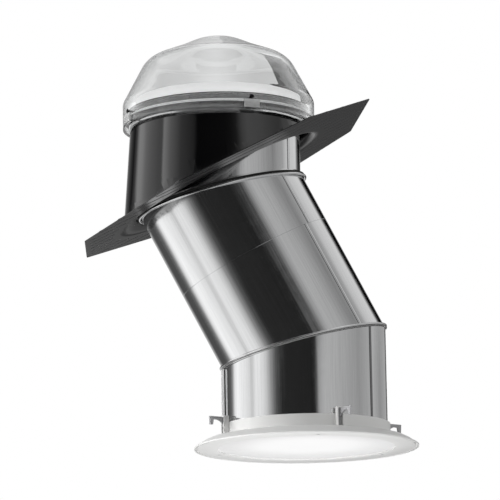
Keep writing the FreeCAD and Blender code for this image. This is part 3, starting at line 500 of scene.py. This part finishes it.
ring_finish = clear_acrylic("ring_acrylic", (0.93, 0.935, 0.935), 0.02, 0.06, 1.3)
cad_copy("base_ring", "dome_base_ring", ring_finish)
latch_finish, shader = finish_of("latch_acrylic", (0.93, 0.935, 0.935), 0.2)
shader.inputs["Transmission Weight"].default_value = 0.55
grained(latch_finish, shader, 500.0, 20.0, 0.1, 0.12, 0.25)
cad_copy("latch_plates", "dome_clips", latch_finish)


def row_group():
    """Geometry group: copies of a shape set round the upright axis or along it, as one mesh."""
    group = bpy.data.node_groups.new("row_of_copies", "GeometryNodeTree")
    face = group.interface
    face.new_socket("Geometry", in_out="INPUT", socket_type="NodeSocketGeometry")
    face.new_socket("Count", in_out="INPUT", socket_type="NodeSocketInt")
    for label in ("First Angle", "Angle Step", "Rise Step"):
        face.new_socket(label, in_out="INPUT", socket_type="NodeSocketFloat")
    face.new_socket("Material", in_out="INPUT", socket_type="NodeSocketMaterial")
    face.new_socket("Geometry", in_out="OUTPUT", socket_type="NodeSocketGeometry")
    nodes, links = group.nodes, group.links
    inside = nodes.new("NodeGroupInput")
    outside = nodes.new("NodeGroupOutput")
    step = nodes.new("ShaderNodeCombineXYZ")
    line = nodes.new("GeometryNodeMeshLine")
    index = nodes.new("GeometryNodeInputIndex")
    turn = nodes.new("ShaderNodeMath")
    turn.operation = "MULTIPLY_ADD"
    angles = nodes.new("ShaderNodeCombineXYZ")
    spin = nodes.new("FunctionNodeEulerToRotation")
    copies = nodes.new("GeometryNodeInstanceOnPoints")
    real = nodes.new("GeometryNodeRealizeInstances")
    dressed = nodes.new("GeometryNodeSetMaterial")
    links.new(inside.outputs["Rise Step"], step.inputs["Z"])
    links.new(inside.outputs["Count"], line.inputs["Count"])
    links.new(step.outputs["Vector"], line.inputs["Offset"])
    links.new(index.outputs["Index"], turn.inputs[0])
    links.new(inside.outputs["Angle Step"], turn.inputs[1])
    links.new(inside.outputs["First Angle"], turn.inputs[2])
    links.new(turn.outputs["Value"], angles.inputs["Z"])
    links.new(angles.outputs["Vector"], spin.inputs["Euler"])
    links.new(line.outputs["Mesh"], copies.inputs["Points"])
    links.new(inside.outputs["Geometry"], copies.inputs["Instance"])
    links.new(spin.outputs["Rotation"], copies.inputs["Rotation"])
    links.new(copies.outputs["Instances"], real.inputs["Geometry"])
    links.new(real.outputs["Geometry"], dressed.inputs["Geometry"])
    links.new(inside.outputs["Material"], dressed.inputs["Material"])
    links.new(dressed.outputs["Geometry"], outside.inputs["Geometry"])
    return group


ROW = row_group()


def row_piece(name, mesh, finish, count, first_angle=0.0, rise_step=0.0, shift=(0.0, 0.0), body=SKYLIGHT):
    """A row of equal shapes baked to one mesh: evenly round the axis, or along it with a rise step."""
    holder = bpy.data.objects.new(name + "_holder", mesh)
    bpy.context.scene.collection.objects.link(holder)
    modifier = holder.modifiers.new("row", "NODES")
    modifier.node_group = ROW
    values = {"Count": count, "First Angle": math.radians(first_angle), "Rise Step": rise_step,
              "Angle Step": 0.0 if rise_step else 2 * math.pi / count, "Material": finish}
    for socket in ROW.interface.items_tree:
        if socket.in_out == "INPUT" and socket.name in values:
            modifier[socket.identifier] = values[socket.name]
    baked = bpy.data.meshes.new_from_object(holder.evaluated_get(bpy.context.evaluated_depsgraph_get()))
    bpy.data.objects.remove(holder)
    baked.name = name
    baked.transform(Matrix.Translation((*shift, 0.0)))
    soften(baked)
    return piece(name, baked, finish, body)


RIDGE_COUNT = 2
RIDGE_PITCH = 0.0028
RIDGE_RISE = 0.0011
RIDGE_RADIUS = 0.1949
RIDGE_LOW = 0.7182
ridge = turned_mesh("band_ridge", [
    (RIDGE_RADIUS, RIDGE_LOW - RIDGE_RISE), (RIDGE_RADIUS + 0.7 * RIDGE_RISE, RIDGE_LOW - 0.7 * RIDGE_RISE),
    (RIDGE_RADIUS + RIDGE_RISE, RIDGE_LOW), (RIDGE_RADIUS + 0.7 * RIDGE_RISE, RIDGE_LOW + 0.7 * RIDGE_RISE),
    (RIDGE_RADIUS, RIDGE_LOW + RIDGE_RISE)])
# Painted highlight: the ridges are an opaque near-white that glows, standing for the bright edges of the clear band.
painted_highlight_finish, shader = finish_of("ridge_painted_highlight", (0.93, 0.935, 0.935), 0.3)
shader.inputs["Emission Color"].default_value = (1, 1, 1, 1)
shader.inputs["Emission Strength"].default_value = 0.16
grained(painted_highlight_finish, shader, 700.0, 20.0, 0.1, 0.25, 0.4)
row_piece("band_ridges", ridge, painted_highlight_finish, RIDGE_COUNT, rise_step=RIDGE_PITCH,
          shift=(AXIS_X, 0.0))

# Dome screws
# Blackened self-tapping screws, one through each latch point.
steel_dark, shader = finish_of("blackened_steel", (0.03, 0.03, 0.032), 0.3, 1.0)
grained(steel_dark, shader, 700.0, 60.0, 0.2, 0.22, 0.42)


def screw_mesh(name, shank, head, rise, length, turned, place, sides=32):
    """A pan-head screw with a cross recess, turned from +Z and moved to its place."""
    rows = [(0.0, -length), (0.35 * shank, -length), (shank, -length + 2 * shank), (shank, 0.0), (head, 0.0),
            (head, 0.35 * rise), (0.93 * head, 0.72 * rise), (0.72 * head, 0.95 * rise), (0.56 * head, rise)]
    recess = [(0.5, 1.0), (0.42, 0.45), (0.1, 0.3), (0.0, 0.3)]
    verts = []
    for radius, height in rows + [(share * head, level * rise) for share, level in recess]:
        in_recess = len(verts) // sides >= len(rows)
        for side in range(sides):
            angle = 2 * math.pi * side / sides
            lobe = (0.36 + 0.64 * abs(math.cos(2 * angle)) ** 3) if in_recess else 1.0
            verts.append(Vector((radius * lobe * math.cos(angle), radius * lobe * math.sin(angle), height)))
    faces = []
    for row in range(len(verts) // sides - 1):
        for side in range(sides):
            after = (side + 1) % sides
            faces.append((row * sides + side, row * sides + after, (row + 1) * sides + after, (row + 1) * sides + side))
    mesh = bpy.data.meshes.new(name)
    mesh.from_pydata([Matrix.Translation(place) @ turned @ vert for vert in verts], [], faces)
    soften(mesh)
    return mesh


OUTWARDS = Matrix.Rotation(math.radians(90), 4, "Y")
DOWNWARDS = Matrix.Rotation(math.radians(180), 4, "X")
DOME_SCREW = 0.0024
DOME_SCREW_HEIGHT = 0.725
dome_screw = screw_mesh("dome_screw", DOME_SCREW, 2.1 * DOME_SCREW, 0.0022, 0.0226, OUTWARDS,
                        (DOME_RADIUS + 0.0001, 0.0, DOME_SCREW_HEIGHT))
dome_screws = row_piece("dome_screw_set", dome_screw, steel_dark, 4, first_angle=-75.7,
                        shift=(AXIS_X, 0.0))
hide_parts("dome_screws")

# Tube hanger
# A white moulded ring that hangs the top tube on the base ring's lip.
white_plastic, shader = finish_of("white_plastic", (0.86, 0.86, 0.85), 0.35)
grained(white_plastic, shader, 1100.0, 14.0, 0.12, 0.3, 0.42)
hanger_plastic_painted_glow, shader = finish_of("hanger_plastic_painted_glow", (0.9, 0.9, 0.9), 0.35)
grained(hanger_plastic_painted_glow, shader, 1100.0, 14.0, 0.12, 0.3, 0.42)
# Painted light: the hanger's white plastic also glows, though it is no lamp.
shader.inputs["Emission Color"].default_value = (1, 1, 1, 1)
shader.inputs["Emission Strength"].default_value = 0.2
cad_copy("hanger_ring", "tube_hanger", hanger_plastic_painted_glow)

# Roof flashing
# One sheet of steel pressed to a ribbed plate and a flared upstand, coated gloss black.
black_coat, shader = finish_of("black_powder_coat", (0.004, 0.004, 0.0045), 0.06)
shader.inputs["IOR"].default_value = 2.0
grained(black_coat, shader, 500.0, 5.0, 0.02, 0.0, 0.03)
ROOF_PITCH = math.radians(26.5)
ROOF_HEIGHT = 0.576
PLATE_GLOSS = 0.27
UPSTAND_GLOSS = 0.045
roof_level = ROOF_HEIGHT * math.cos(ROOF_PITCH) - AXIS_X * math.sin(ROOF_PITCH)
tree = black_coat.node_tree
place = tree.nodes.new("ShaderNodeTexCoord")
over = tree.nodes.new("ShaderNodeVectorMath")
over.operation = "DOT_PRODUCT"
over.inputs[1].default_value = (-math.sin(ROOF_PITCH), 0, math.cos(ROOF_PITCH))
gloss = tree.nodes.new("ShaderNodeMapRange")
gloss.inputs["From Min"].default_value = roof_level + 0.012
gloss.inputs["From Max"].default_value = roof_level + 0.030
gloss.inputs["To Min"].default_value = PLATE_GLOSS
gloss.inputs["To Max"].default_value = UPSTAND_GLOSS
total = tree.nodes.new("ShaderNodeMath")
tree.links.new(shader.inputs["Roughness"].links[0].from_socket, total.inputs[0])
tree.links.new(place.outputs["Object"], over.inputs[0])
tree.links.new(over.outputs["Value"], gloss.inputs["Value"])
tree.links.new(gloss.outputs["Result"], total.inputs[1])
tree.links.new(total.outputs["Value"], shader.inputs["Roughness"])
ROOF_NORMAL = Vector((-math.sin(ROOF_PITCH), 0, math.cos(ROOF_PITCH)))
UPSTAND_LEAN = 0.0733


def sheet_kind(normal):
    """Which part of the pressed sheet a face belongs to: flat plate, upright cone or the bends between."""
    if abs(normal.dot(ROOF_NORMAL)) > 0.9999:
        return "plate"
    return "upstand" if abs(abs(normal.z) - UPSTAND_LEAN) < 0.003 else "bend"


cad_copy("flashing_sheet", "flashing", black_coat, kind=sheet_kind)

# Light tube
# Rolled aluminium with a mirror finish, in four lengths cut to the mitres, each with a folded seam.
# The lower slanted length slides into the upper one, where a fine groove shows.
TUBE_RADIUS = 0.175
TUBE_SHEET = 0.0008
LOWER_JOINT = 0.213
UPPER_JOINT = LOWER_JOINT + SLANT_LENGTH * math.cos(BEND)
MID_SEAM = 0.225
MITRE = math.tan(BEND / 2)
UPRIGHT = Matrix.Identity(4)
UPPER = Matrix.Translation((AXIS_X, 0, 0))
SLANTED = Matrix.Translation((0, 0, LOWER_JOINT)) @ Matrix.Rotation(-BEND, 4, "Y")


def streak_group():
    """Shader group: rolling streaks along a tilted axis, and a slow waviness, as values from 0 to 1."""
    group = bpy.data.node_groups.new("rolled_streaks", "ShaderNodeTree")
    socket = group.interface.new_socket("Lean", in_out="INPUT", socket_type="NodeSocketFloat")
    socket.default_value = 0.0
    for label in ("Streaks", "Waves", "Specks"):
        group.interface.new_socket(label, in_out="OUTPUT", socket_type="NodeSocketFloat")
    inside = group.nodes.new("NodeGroupInput")
    outside = group.nodes.new("NodeGroupOutput")
    where = group.nodes.new("ShaderNodeTexCoord")
    lean = group.nodes.new("ShaderNodeVectorRotate")
    lean.rotation_type = "Y_AXIS"
    group.links.new(where.outputs["Object"], lean.inputs["Vector"])
    group.links.new(inside.outputs["Lean"], lean.inputs["Angle"])
    for label, stretch, scale, detail in (
            ("Streaks", (1, 1, 0.02), 420.0, 3.0), ("Waves", (1, 1, 0.25), 9.0, 2.0), ("Specks", (1, 1, 1), 60.0, 5.0)):
        squeeze = group.nodes.new("ShaderNodeMapping")
        squeeze.inputs["Scale"].default_value = stretch
        noise = group.nodes.new("ShaderNodeTexNoise")
        noise.inputs["Scale"].default_value = scale
        noise.inputs["Detail"].default_value = detail
        group.links.new(lean.outputs["Vector"], squeeze.inputs["Vector"])
        group.links.new(squeeze.outputs["Vector"], noise.inputs["Vector"])
        group.links.new(noise.outputs["Fac"], outside.inputs[label])
    return group


STREAKS = streak_group()


def rolled_metal(name, colour, lean, rough_low, rough_high, relief_strength, lap_rough=None):
    """Bright rolled sheet: streaks along its axis, faint waves, dull specks, and if asked a dull standing lap that
    glows as painted light, with painted shade darkening the seam top and the lap's foot.
    """
    material, shader = finish_of(name, colour, rough_low, 1.0)
    tree = material.node_tree
    marks = tree.nodes.new("ShaderNodeGroup")
    marks.node_tree = STREAKS
    marks.inputs["Lean"].default_value = lean
    blend = tree.nodes.new("ShaderNodeMix")
    blend.inputs["Factor"].default_value = 0.35
    dull = tree.nodes.new("ShaderNodeMapRange")
    dull.inputs["From Min"].default_value = 0.35
    dull.inputs["From Max"].default_value = 0.65
    dull.inputs["To Min"].default_value = rough_low
    dull.inputs["To Max"].default_value = rough_high
    tree.links.new(marks.outputs["Streaks"], blend.inputs["A"])
    tree.links.new(marks.outputs["Specks"], blend.inputs["B"])
    tree.links.new(blend.outputs["Result"], dull.inputs["Value"])
    tree.links.new(dull.outputs["Result"], shader.inputs["Roughness"])
    if lap_rough:
        flat = tree.nodes.new("ShaderNodeVectorMath")
        flat.operation = "MULTIPLY"
        flat.inputs[1].default_value = (1, 1, 0)
        reach = tree.nodes.new("ShaderNodeVectorMath")
        reach.operation = "LENGTH"
        place = tree.nodes.new("ShaderNodeTexCoord")
        standing = tree.nodes.new("ShaderNodeMapRange")
        standing.inputs["From Min"].default_value = TUBE_RADIUS + 0.0014
        standing.inputs["From Max"].default_value = TUBE_RADIUS + 0.0018
        either = tree.nodes.new("ShaderNodeMix")
        either.inputs["B"].default_value = lap_rough
        tree.links.new(place.outputs["Object"], flat.inputs[0])
        tree.links.new(flat.outputs["Vector"], reach.inputs[0])
        tree.links.new(reach.outputs["Value"], standing.inputs["Value"])
        tree.links.new(standing.outputs["Result"], either.inputs["Factor"])
        tree.links.new(dull.outputs["Result"], either.inputs["A"])
        tree.links.new(either.outputs["Result"], shader.inputs["Roughness"])
        matt = tree.nodes.new("ShaderNodeMapRange")
        matt.inputs["To Min"].default_value = 1.0
        matt.inputs["To Max"].default_value = 0.3
        tree.links.new(standing.outputs["Result"], matt.inputs["Value"])
        tree.links.new(matt.outputs["Result"], shader.inputs["Metallic"])
        # Painted light: the standing lap glows a little, though it is no lamp.
        painted_lap_glow = tree.nodes.new("ShaderNodeMapRange")
        painted_lap_glow.inputs["To Max"].default_value = 0.22
        tree.links.new(standing.outputs["Result"], painted_lap_glow.inputs["Value"])
        tree.links.new(painted_lap_glow.outputs["Result"], shader.inputs["Emission Color"])
        shader.inputs["Emission Strength"].default_value = 1.0
        # Painted shade: the colour darkens along the top of the seam and the foot of the lap.
        painted_seam_shade = tree.nodes.new("ShaderNodeMapRange")
        painted_seam_shade.inputs["From Min"].default_value = TUBE_RADIUS + 0.0003
        painted_seam_shade.inputs["From Max"].default_value = TUBE_RADIUS + 0.0006
        painted_seam_shade.inputs["To Min"].default_value = 1.0
        painted_seam_shade.inputs["To Max"].default_value = 0.3
        past = tree.nodes.new("ShaderNodeMath")
        past.operation = "MAXIMUM"
        tree.links.new(reach.outputs["Value"], painted_seam_shade.inputs["Value"])
        tree.links.new(painted_seam_shade.outputs["Result"], past.inputs[0])
        tree.links.new(standing.outputs["Result"], past.inputs[1])
    shade = tree.nodes.new("ShaderNodeMapRange")
    shade.inputs["From Min"].default_value = 0.3
    shade.inputs["From Max"].default_value = 0.7
    shade.inputs["To Min"].default_value = 0.9
    shade.inputs["To Max"].default_value = 1.0
    tint = tree.nodes.new("ShaderNodeVectorMath")
    tint.operation = "SCALE"
    tint.inputs[0].default_value = colour
    tree.links.new(marks.outputs["Streaks"], shade.inputs["Value"])
    tree.links.new(shade.outputs["Result"], tint.inputs["Scale"])
    if lap_rough:
        darker = tree.nodes.new("ShaderNodeMath")
        darker.operation = "MULTIPLY"
        tree.links.new(shade.outputs["Result"], darker.inputs[0])
        tree.links.new(past.outputs["Value"], darker.inputs[1])
        tree.links.new(darker.outputs["Value"], tint.inputs["Scale"])
    tree.links.new(tint.outputs["Vector"], shader.inputs["Base Color"])
    fine = tree.nodes.new("ShaderNodeBump")
    fine.inputs["Strength"].default_value = relief_strength
    fine.inputs["Distance"].default_value = 0.0001
    slow = tree.nodes.new("ShaderNodeBump")
    slow.inputs["Strength"].default_value = 0.25
    slow.inputs["Distance"].default_value = 0.0012
    tree.links.new(marks.outputs["Waves"], slow.inputs["Height"])
    tree.links.new(marks.outputs["Streaks"], fine.inputs["Height"])
    tree.links.new(slow.outputs["Normal"], fine.inputs["Normal"])
    tree.links.new(fine.outputs["Normal"], shader.inputs["Normal"])
    return material


def tube_mesh(name, placement, low, high, low_slope, high_slope, folds, groove=None):
    """A tube length between two ends that may slope across X, with its folded seam and its lap."""
    segments = 256
    verts = []
    faces = []
    rows = [(low, low_slope, 0.0), (high, high_slope, 0.0)]
    if groove == "high":
        rows = [rows[0], (high - 0.005, high_slope, 0.0),
                (high - 0.0006, high_slope, 0.0), (high, high_slope, 0.0007)]
    if groove == "low":
        rows = [(low, low_slope, 0.0007), (low + 0.0006, low_slope, 0.0), (low + 0.005, low_slope, 0.0), rows[1]]
    for inward in (0.0, TUBE_SHEET):
        for height, slope, sink in rows:
            for index in range(segments):
                angle = 2 * math.pi * index / segments
                radius = TUBE_RADIUS - inward - sink
                verts.append((radius * math.cos(angle), radius * math.sin(angle),
                              height + slope * radius * math.cos(angle)))
    count = len(rows)
    order = [(row, row + 1) for row in range(count - 1)]
    order += [(count + row + 1, count + row) for row in range(count - 1)] + [(count - 1, 2 * count - 1), (count, 0)]
    for first, second in order:
        for index in range(segments):
            after = (index + 1) % segments
            faces.append((first * segments + index, first * segments + after,
                          second * segments + after, second * segments + index))
    for profile, turned_to, start, end in folds:
        base = len(verts)
        for height, slope in ((start, low_slope), (end, high_slope)):
            for across, rise in profile:
                point = Vector((TUBE_RADIUS + rise, across, 0))
                point.rotate(Matrix.Rotation(math.radians(turned_to), 3, "Z"))
                verts.append((point.x, point.y, height + slope * point.x))
        count = len(profile)
        for index in range(count):
            after = (index + 1) % count
            faces.append((base + index, base + after, base + count + after, base + count + index))
        faces.append(tuple(range(base, base + count))[::-1])
        faces.append(tuple(range(base + count, base + 2 * count)))
    mesh = bpy.data.meshes.new(name)
    mesh.from_pydata([placement @ Vector(vert) for vert in verts], [], faces)
    soften(mesh, 40)
    return mesh


UPPER_BEAD = SLANT_LENGTH - 0.012
UPPER_BEAD_SECTION = 0.003
LOWER_BEAD = 0.006
LOWER_BEAD_SECTION = 0.0022
CLEARANCE = 0.0003
LOW_FREE = (LOWER_BEAD + LOWER_BEAD_SECTION + 2 * CLEARANCE) / math.cos(BEND / 2)
HIGH_FREE = (SLANT_LENGTH - UPPER_BEAD + UPPER_BEAD_SECTION + 2 * CLEARANCE) / math.cos(BEND / 2)
COLLAR_TOP = 0.0502
SEAM = [(-0.0035, -0.0003), (-0.0034, 0.0006), (-0.0029, 0.0010), (-0.001, 0.0011), (0.001, 0.0011),
        (0.0029, 0.0010), (0.0034, 0.0006), (0.0035, -0.0003)]
LAP = [(-0.0008, -0.0003), (-0.0008, 0.0074), (-0.0005, 0.0079), (0.0, 0.008), (0.0005, 0.0079), (0.0008, 0.0074),
       (0.0008, -0.0003)]
LAP_ANGLE = -176.2
BRIGHT_SHEET = (0.86, 0.865, 0.87)
upright_metal = rolled_metal("mirror_aluminium", BRIGHT_SHEET, 0.0, 0.06, 0.13, 0.25)
# The bottom length's finish has a painted glow on its lap and painted shade along its seam.
lapped_metal = rolled_metal("mirror_aluminium_lapped", BRIGHT_SHEET, 0.0, 0.06, 0.13, 0.25, 0.75)
slanted_metal = rolled_metal("mirror_aluminium_slanted", BRIGHT_SHEET, BEND, 0.07, 0.15, 0.25)
TUBE_FOOT = 0.0105
TUBE_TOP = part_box("top_tube")[1][2]
lengths = [
    ("bottom_tube", UPRIGHT, TUBE_FOOT, LOWER_JOINT, 0, MITRE,
     [(SEAM, -44, COLLAR_TOP, LOWER_JOINT), (LAP, LAP_ANGLE, COLLAR_TOP, LOWER_JOINT)], None),
    ("slant_tube_lower", SLANTED, 0, MID_SEAM, -MITRE, 0, [(SEAM, -52.5, LOW_FREE, MID_SEAM)], "high"),
    ("slant_tube_upper", SLANTED, MID_SEAM, SLANT_LENGTH, 0, -MITRE,
     [(SEAM, -48.5, MID_SEAM, SLANT_LENGTH - HIGH_FREE)], "low"),
    ("top_tube", UPPER, UPPER_JOINT, TUBE_TOP, MITRE, 0, [(SEAM, -38, UPPER_JOINT, TUBE_TOP - 0.022)], None)]
for node, placement, low, high, low_slope, high_slope, folds, groove in lengths:
    mesh = tube_mesh(node + "_sheet", placement, low, high, low_slope, high_slope, folds, groove)
    metal = {"bottom_tube": lapped_metal, "top_tube": upright_metal}.get(node, slanted_metal)
    length = piece(node + "_sheet", mesh, metal)
    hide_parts(node)
RIVET_COUNT = 4
RIVET_RADIUS = 0.0022
RIVET_RISE = 0.0011
rivet_pitch = (LOWER_JOINT - TUBE_RADIUS * MITRE - COLLAR_TOP) / RIVET_COUNT
rivet = turned_mesh("rivet", [
    (0.0, 0.0), (RIVET_RADIUS, 0.0), (0.96 * RIVET_RADIUS, 0.4 * RIVET_RISE), (0.75 * RIVET_RADIUS, 0.78 * RIVET_RISE),
    (0.4 * RIVET_RADIUS, RIVET_RISE), (0.0, RIVET_RISE)], segments=24)
rivet.transform(Matrix.Rotation(math.radians(LAP_ANGLE), 4, "Z") @ Matrix.Translation(
    (TUBE_RADIUS + 0.004, 0.0008, COLLAR_TOP + rivet_pitch / 2)) @ Matrix.Rotation(math.radians(-90), 4, "X"))
# The rivets take the lapped finish and so share its painted glow.
rivets = row_piece("rivet_row", rivet, lapped_metal, RIVET_COUNT, rise_step=rivet_pitch)
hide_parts("tube_rivets")

# Joint beads and seals
# Each bend is held by a rolled bead, with a rubber seal beside it. The upper seal is a black band that stands for the
# shade in the gap above its bead.
bead_metal = rolled_metal("bead_aluminium", (0.9, 0.905, 0.91), 0.0, 0.06, 0.14, 0.1)


def bead_mesh(name, distance, section):
    """A round bead parallel to the mitres, at a distance up the slanted length, hugging the tube."""
    segments, sides = 256, 20
    slope = math.cos(BEND / 2)
    spot = (-distance * math.sin(BEND), 0, LOWER_JOINT + distance * math.cos(BEND))
    placement = Matrix.Translation(spot) @ Matrix.Rotation(-BEND / 2, 4, "Y")
    verts = []
    faces = []
    for index in range(segments):
        angle = 2 * math.pi * index / segments
        for side in range(sides):
            turning = 2 * math.pi * side / sides
            reach = TUBE_RADIUS + BEAD_GAP + section * (1 + math.cos(turning))
            verts.append(placement @ Vector((reach / slope * math.cos(angle), reach * math.sin(angle),
                                             section * math.sin(turning))))
    for index in range(segments):
        here, there = index * sides, (index + 1) % segments * sides
        for side in range(sides):
            after = (side + 1) % sides
            faces.append((here + side, there + side, there + after, here + after))
    mesh = bpy.data.meshes.new(name)
    mesh.from_pydata(verts, [], faces)
    soften(mesh, 60)
    return mesh


BEAD_GAP = 0.0014
UPPER_SEAL_SECTION = 0.0022
LOWER_SEAL_SECTION = 0.0013
UPPER_SEAL = UPPER_BEAD + (UPPER_BEAD_SECTION + UPPER_SEAL_SECTION + CLEARANCE) / math.cos(BEND / 2)
LOWER_SEAL = LOWER_BEAD - (LOWER_BEAD_SECTION + LOWER_SEAL_SECTION + CLEARANCE) / math.cos(BEND / 2)
# Painted shade: the upper seal's black stands for the shade in the joint's gap above the upper bead.
black_rubber, shader = finish_of("black_rubber", (0.012, 0.012, 0.012), 0.6)
grained(black_rubber, shader, 800.0, 20.0, 0.15, 0.5, 0.7)
grey_rubber, shader = finish_of("grey_rubber", (0.2, 0.2, 0.2), 0.6)
grained(grey_rubber, shader, 800.0, 20.0, 0.15, 0.5, 0.7)
rings = [
    ("upper_joint_ring", UPPER_BEAD, UPPER_BEAD_SECTION, bead_metal, "bead_aluminium"),
    ("lower_joint_ring", LOWER_BEAD, LOWER_BEAD_SECTION, bead_metal, "bead_aluminium"),
    ("upper_joint_seal", UPPER_SEAL, UPPER_SEAL_SECTION, black_rubber, "black_rubber"),
    ("lower_joint_seal", LOWER_SEAL, LOWER_SEAL_SECTION, grey_rubber, "grey_rubber")]
for node, distance, section, finish, slot in rings:
    ring = piece(node + "_bead", bead_mesh(node + "_bead", distance, section), finish)
    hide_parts(node)
cad_copy("diffuser_seal", "diffuser_gasket", grey_rubber)

# Ceiling ring
# White moulding with a collar round the tube, a coned flange and four clamp guides.
cad_copy("ring_moulding", "ceiling_ring", white_plastic)
trim_plastic, shader = finish_of("trim_plastic", (0.86, 0.86, 0.85), 0.35)
grained(trim_plastic, shader, 1100.0, 14.0, 0.12, 0.3, 0.42)


def lit_from_centre(material, shader, far, near, far_level, near_level):
    """Lets a surface glow more the nearer it lies to the middle of the ceiling opening."""
    tree = material.node_tree
    place = tree.nodes.new("ShaderNodeTexCoord")
    reach = tree.nodes.new("ShaderNodeVectorMath")
    reach.operation = "LENGTH"
    glow = tree.nodes.new("ShaderNodeMapRange")
    glow.interpolation_type = "SMOOTHSTEP"
    glow.inputs["From Min"].default_value = far
    glow.inputs["From Max"].default_value = near
    glow.inputs["To Min"].default_value = far_level
    glow.inputs["To Max"].default_value = near_level
    tree.links.new(place.outputs["Object"], reach.inputs[0])
    tree.links.new(reach.outputs["Value"], glow.inputs["Value"])
    tree.links.new(glow.outputs["Result"], shader.inputs["Emission Color"])
    shader.inputs["Emission Strength"].default_value = 1.0


lit_from_centre(trim_plastic, shader, 0.216, 0.184, 0.0, 0.05)
cad_copy("trim_moulding", "trim_ring", trim_plastic)

# Clamps
# Grey moulded arms, each on its own screw, swung out over the ceiling board.
grey_plastic, shader = finish_of("grey_plastic", (0.4, 0.4, 0.41), 0.4)
grained(grey_plastic, shader, 1000.0, 30.0, 0.15, 0.35, 0.5)
for index in range(1, 5):
    name = "clamp_%d" % index
    cad_copy(name + "_arm", name, grey_plastic, name)
zinc_steel, shader = finish_of("zinc_steel", (0.55, 0.56, 0.57), 0.3, 1.0)
grained(zinc_steel, shader, 700.0, 60.0, 0.2, 0.24, 0.4)
CLAMP_SCREW = 0.0019
clamp_screw = screw_mesh("clamp_screw", CLAMP_SCREW, 2.1 * CLAMP_SCREW, 0.0024, 0.045, DOWNWARDS,
                         (0.18625, 0.0, 0.0189))
clamp_screws = row_piece("clamp_screw_set", clamp_screw, zinc_steel, 4, first_angle=-74.5)
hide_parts("clamp_screws")
trim_screw = screw_mesh("trim_screw", 0.0019, 0.0042, 0.0017, 0.011, DOWNWARDS, (0.205, 0.0, 0.002))
trim_screws = row_piece("trim_screw_set", trim_screw, zinc_steel, 3, first_angle=-90)
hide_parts("trim_screws")

# Diffuser and inner pane
# A frosted acrylic dish in the trim ring, and a clear pane on the ring's ledge above it.
frosted, shader = finish_of("frosted_acrylic", (0.95, 0.95, 0.95), 0.45)
grained(frosted, shader, 1400.0, 8.0, 0.25, 0.4, 0.55)
lit_from_centre(frosted, shader, 0.192, 0.08, 0.02, 0.21)
cad_copy("diffuser_dish", "diffuser", frosted)
pane_finish = clear_acrylic("pane_acrylic", (0.97, 0.975, 0.975), 0.0, 0.02)
cad_copy("clear_pane", "inner_pane", pane_finish)
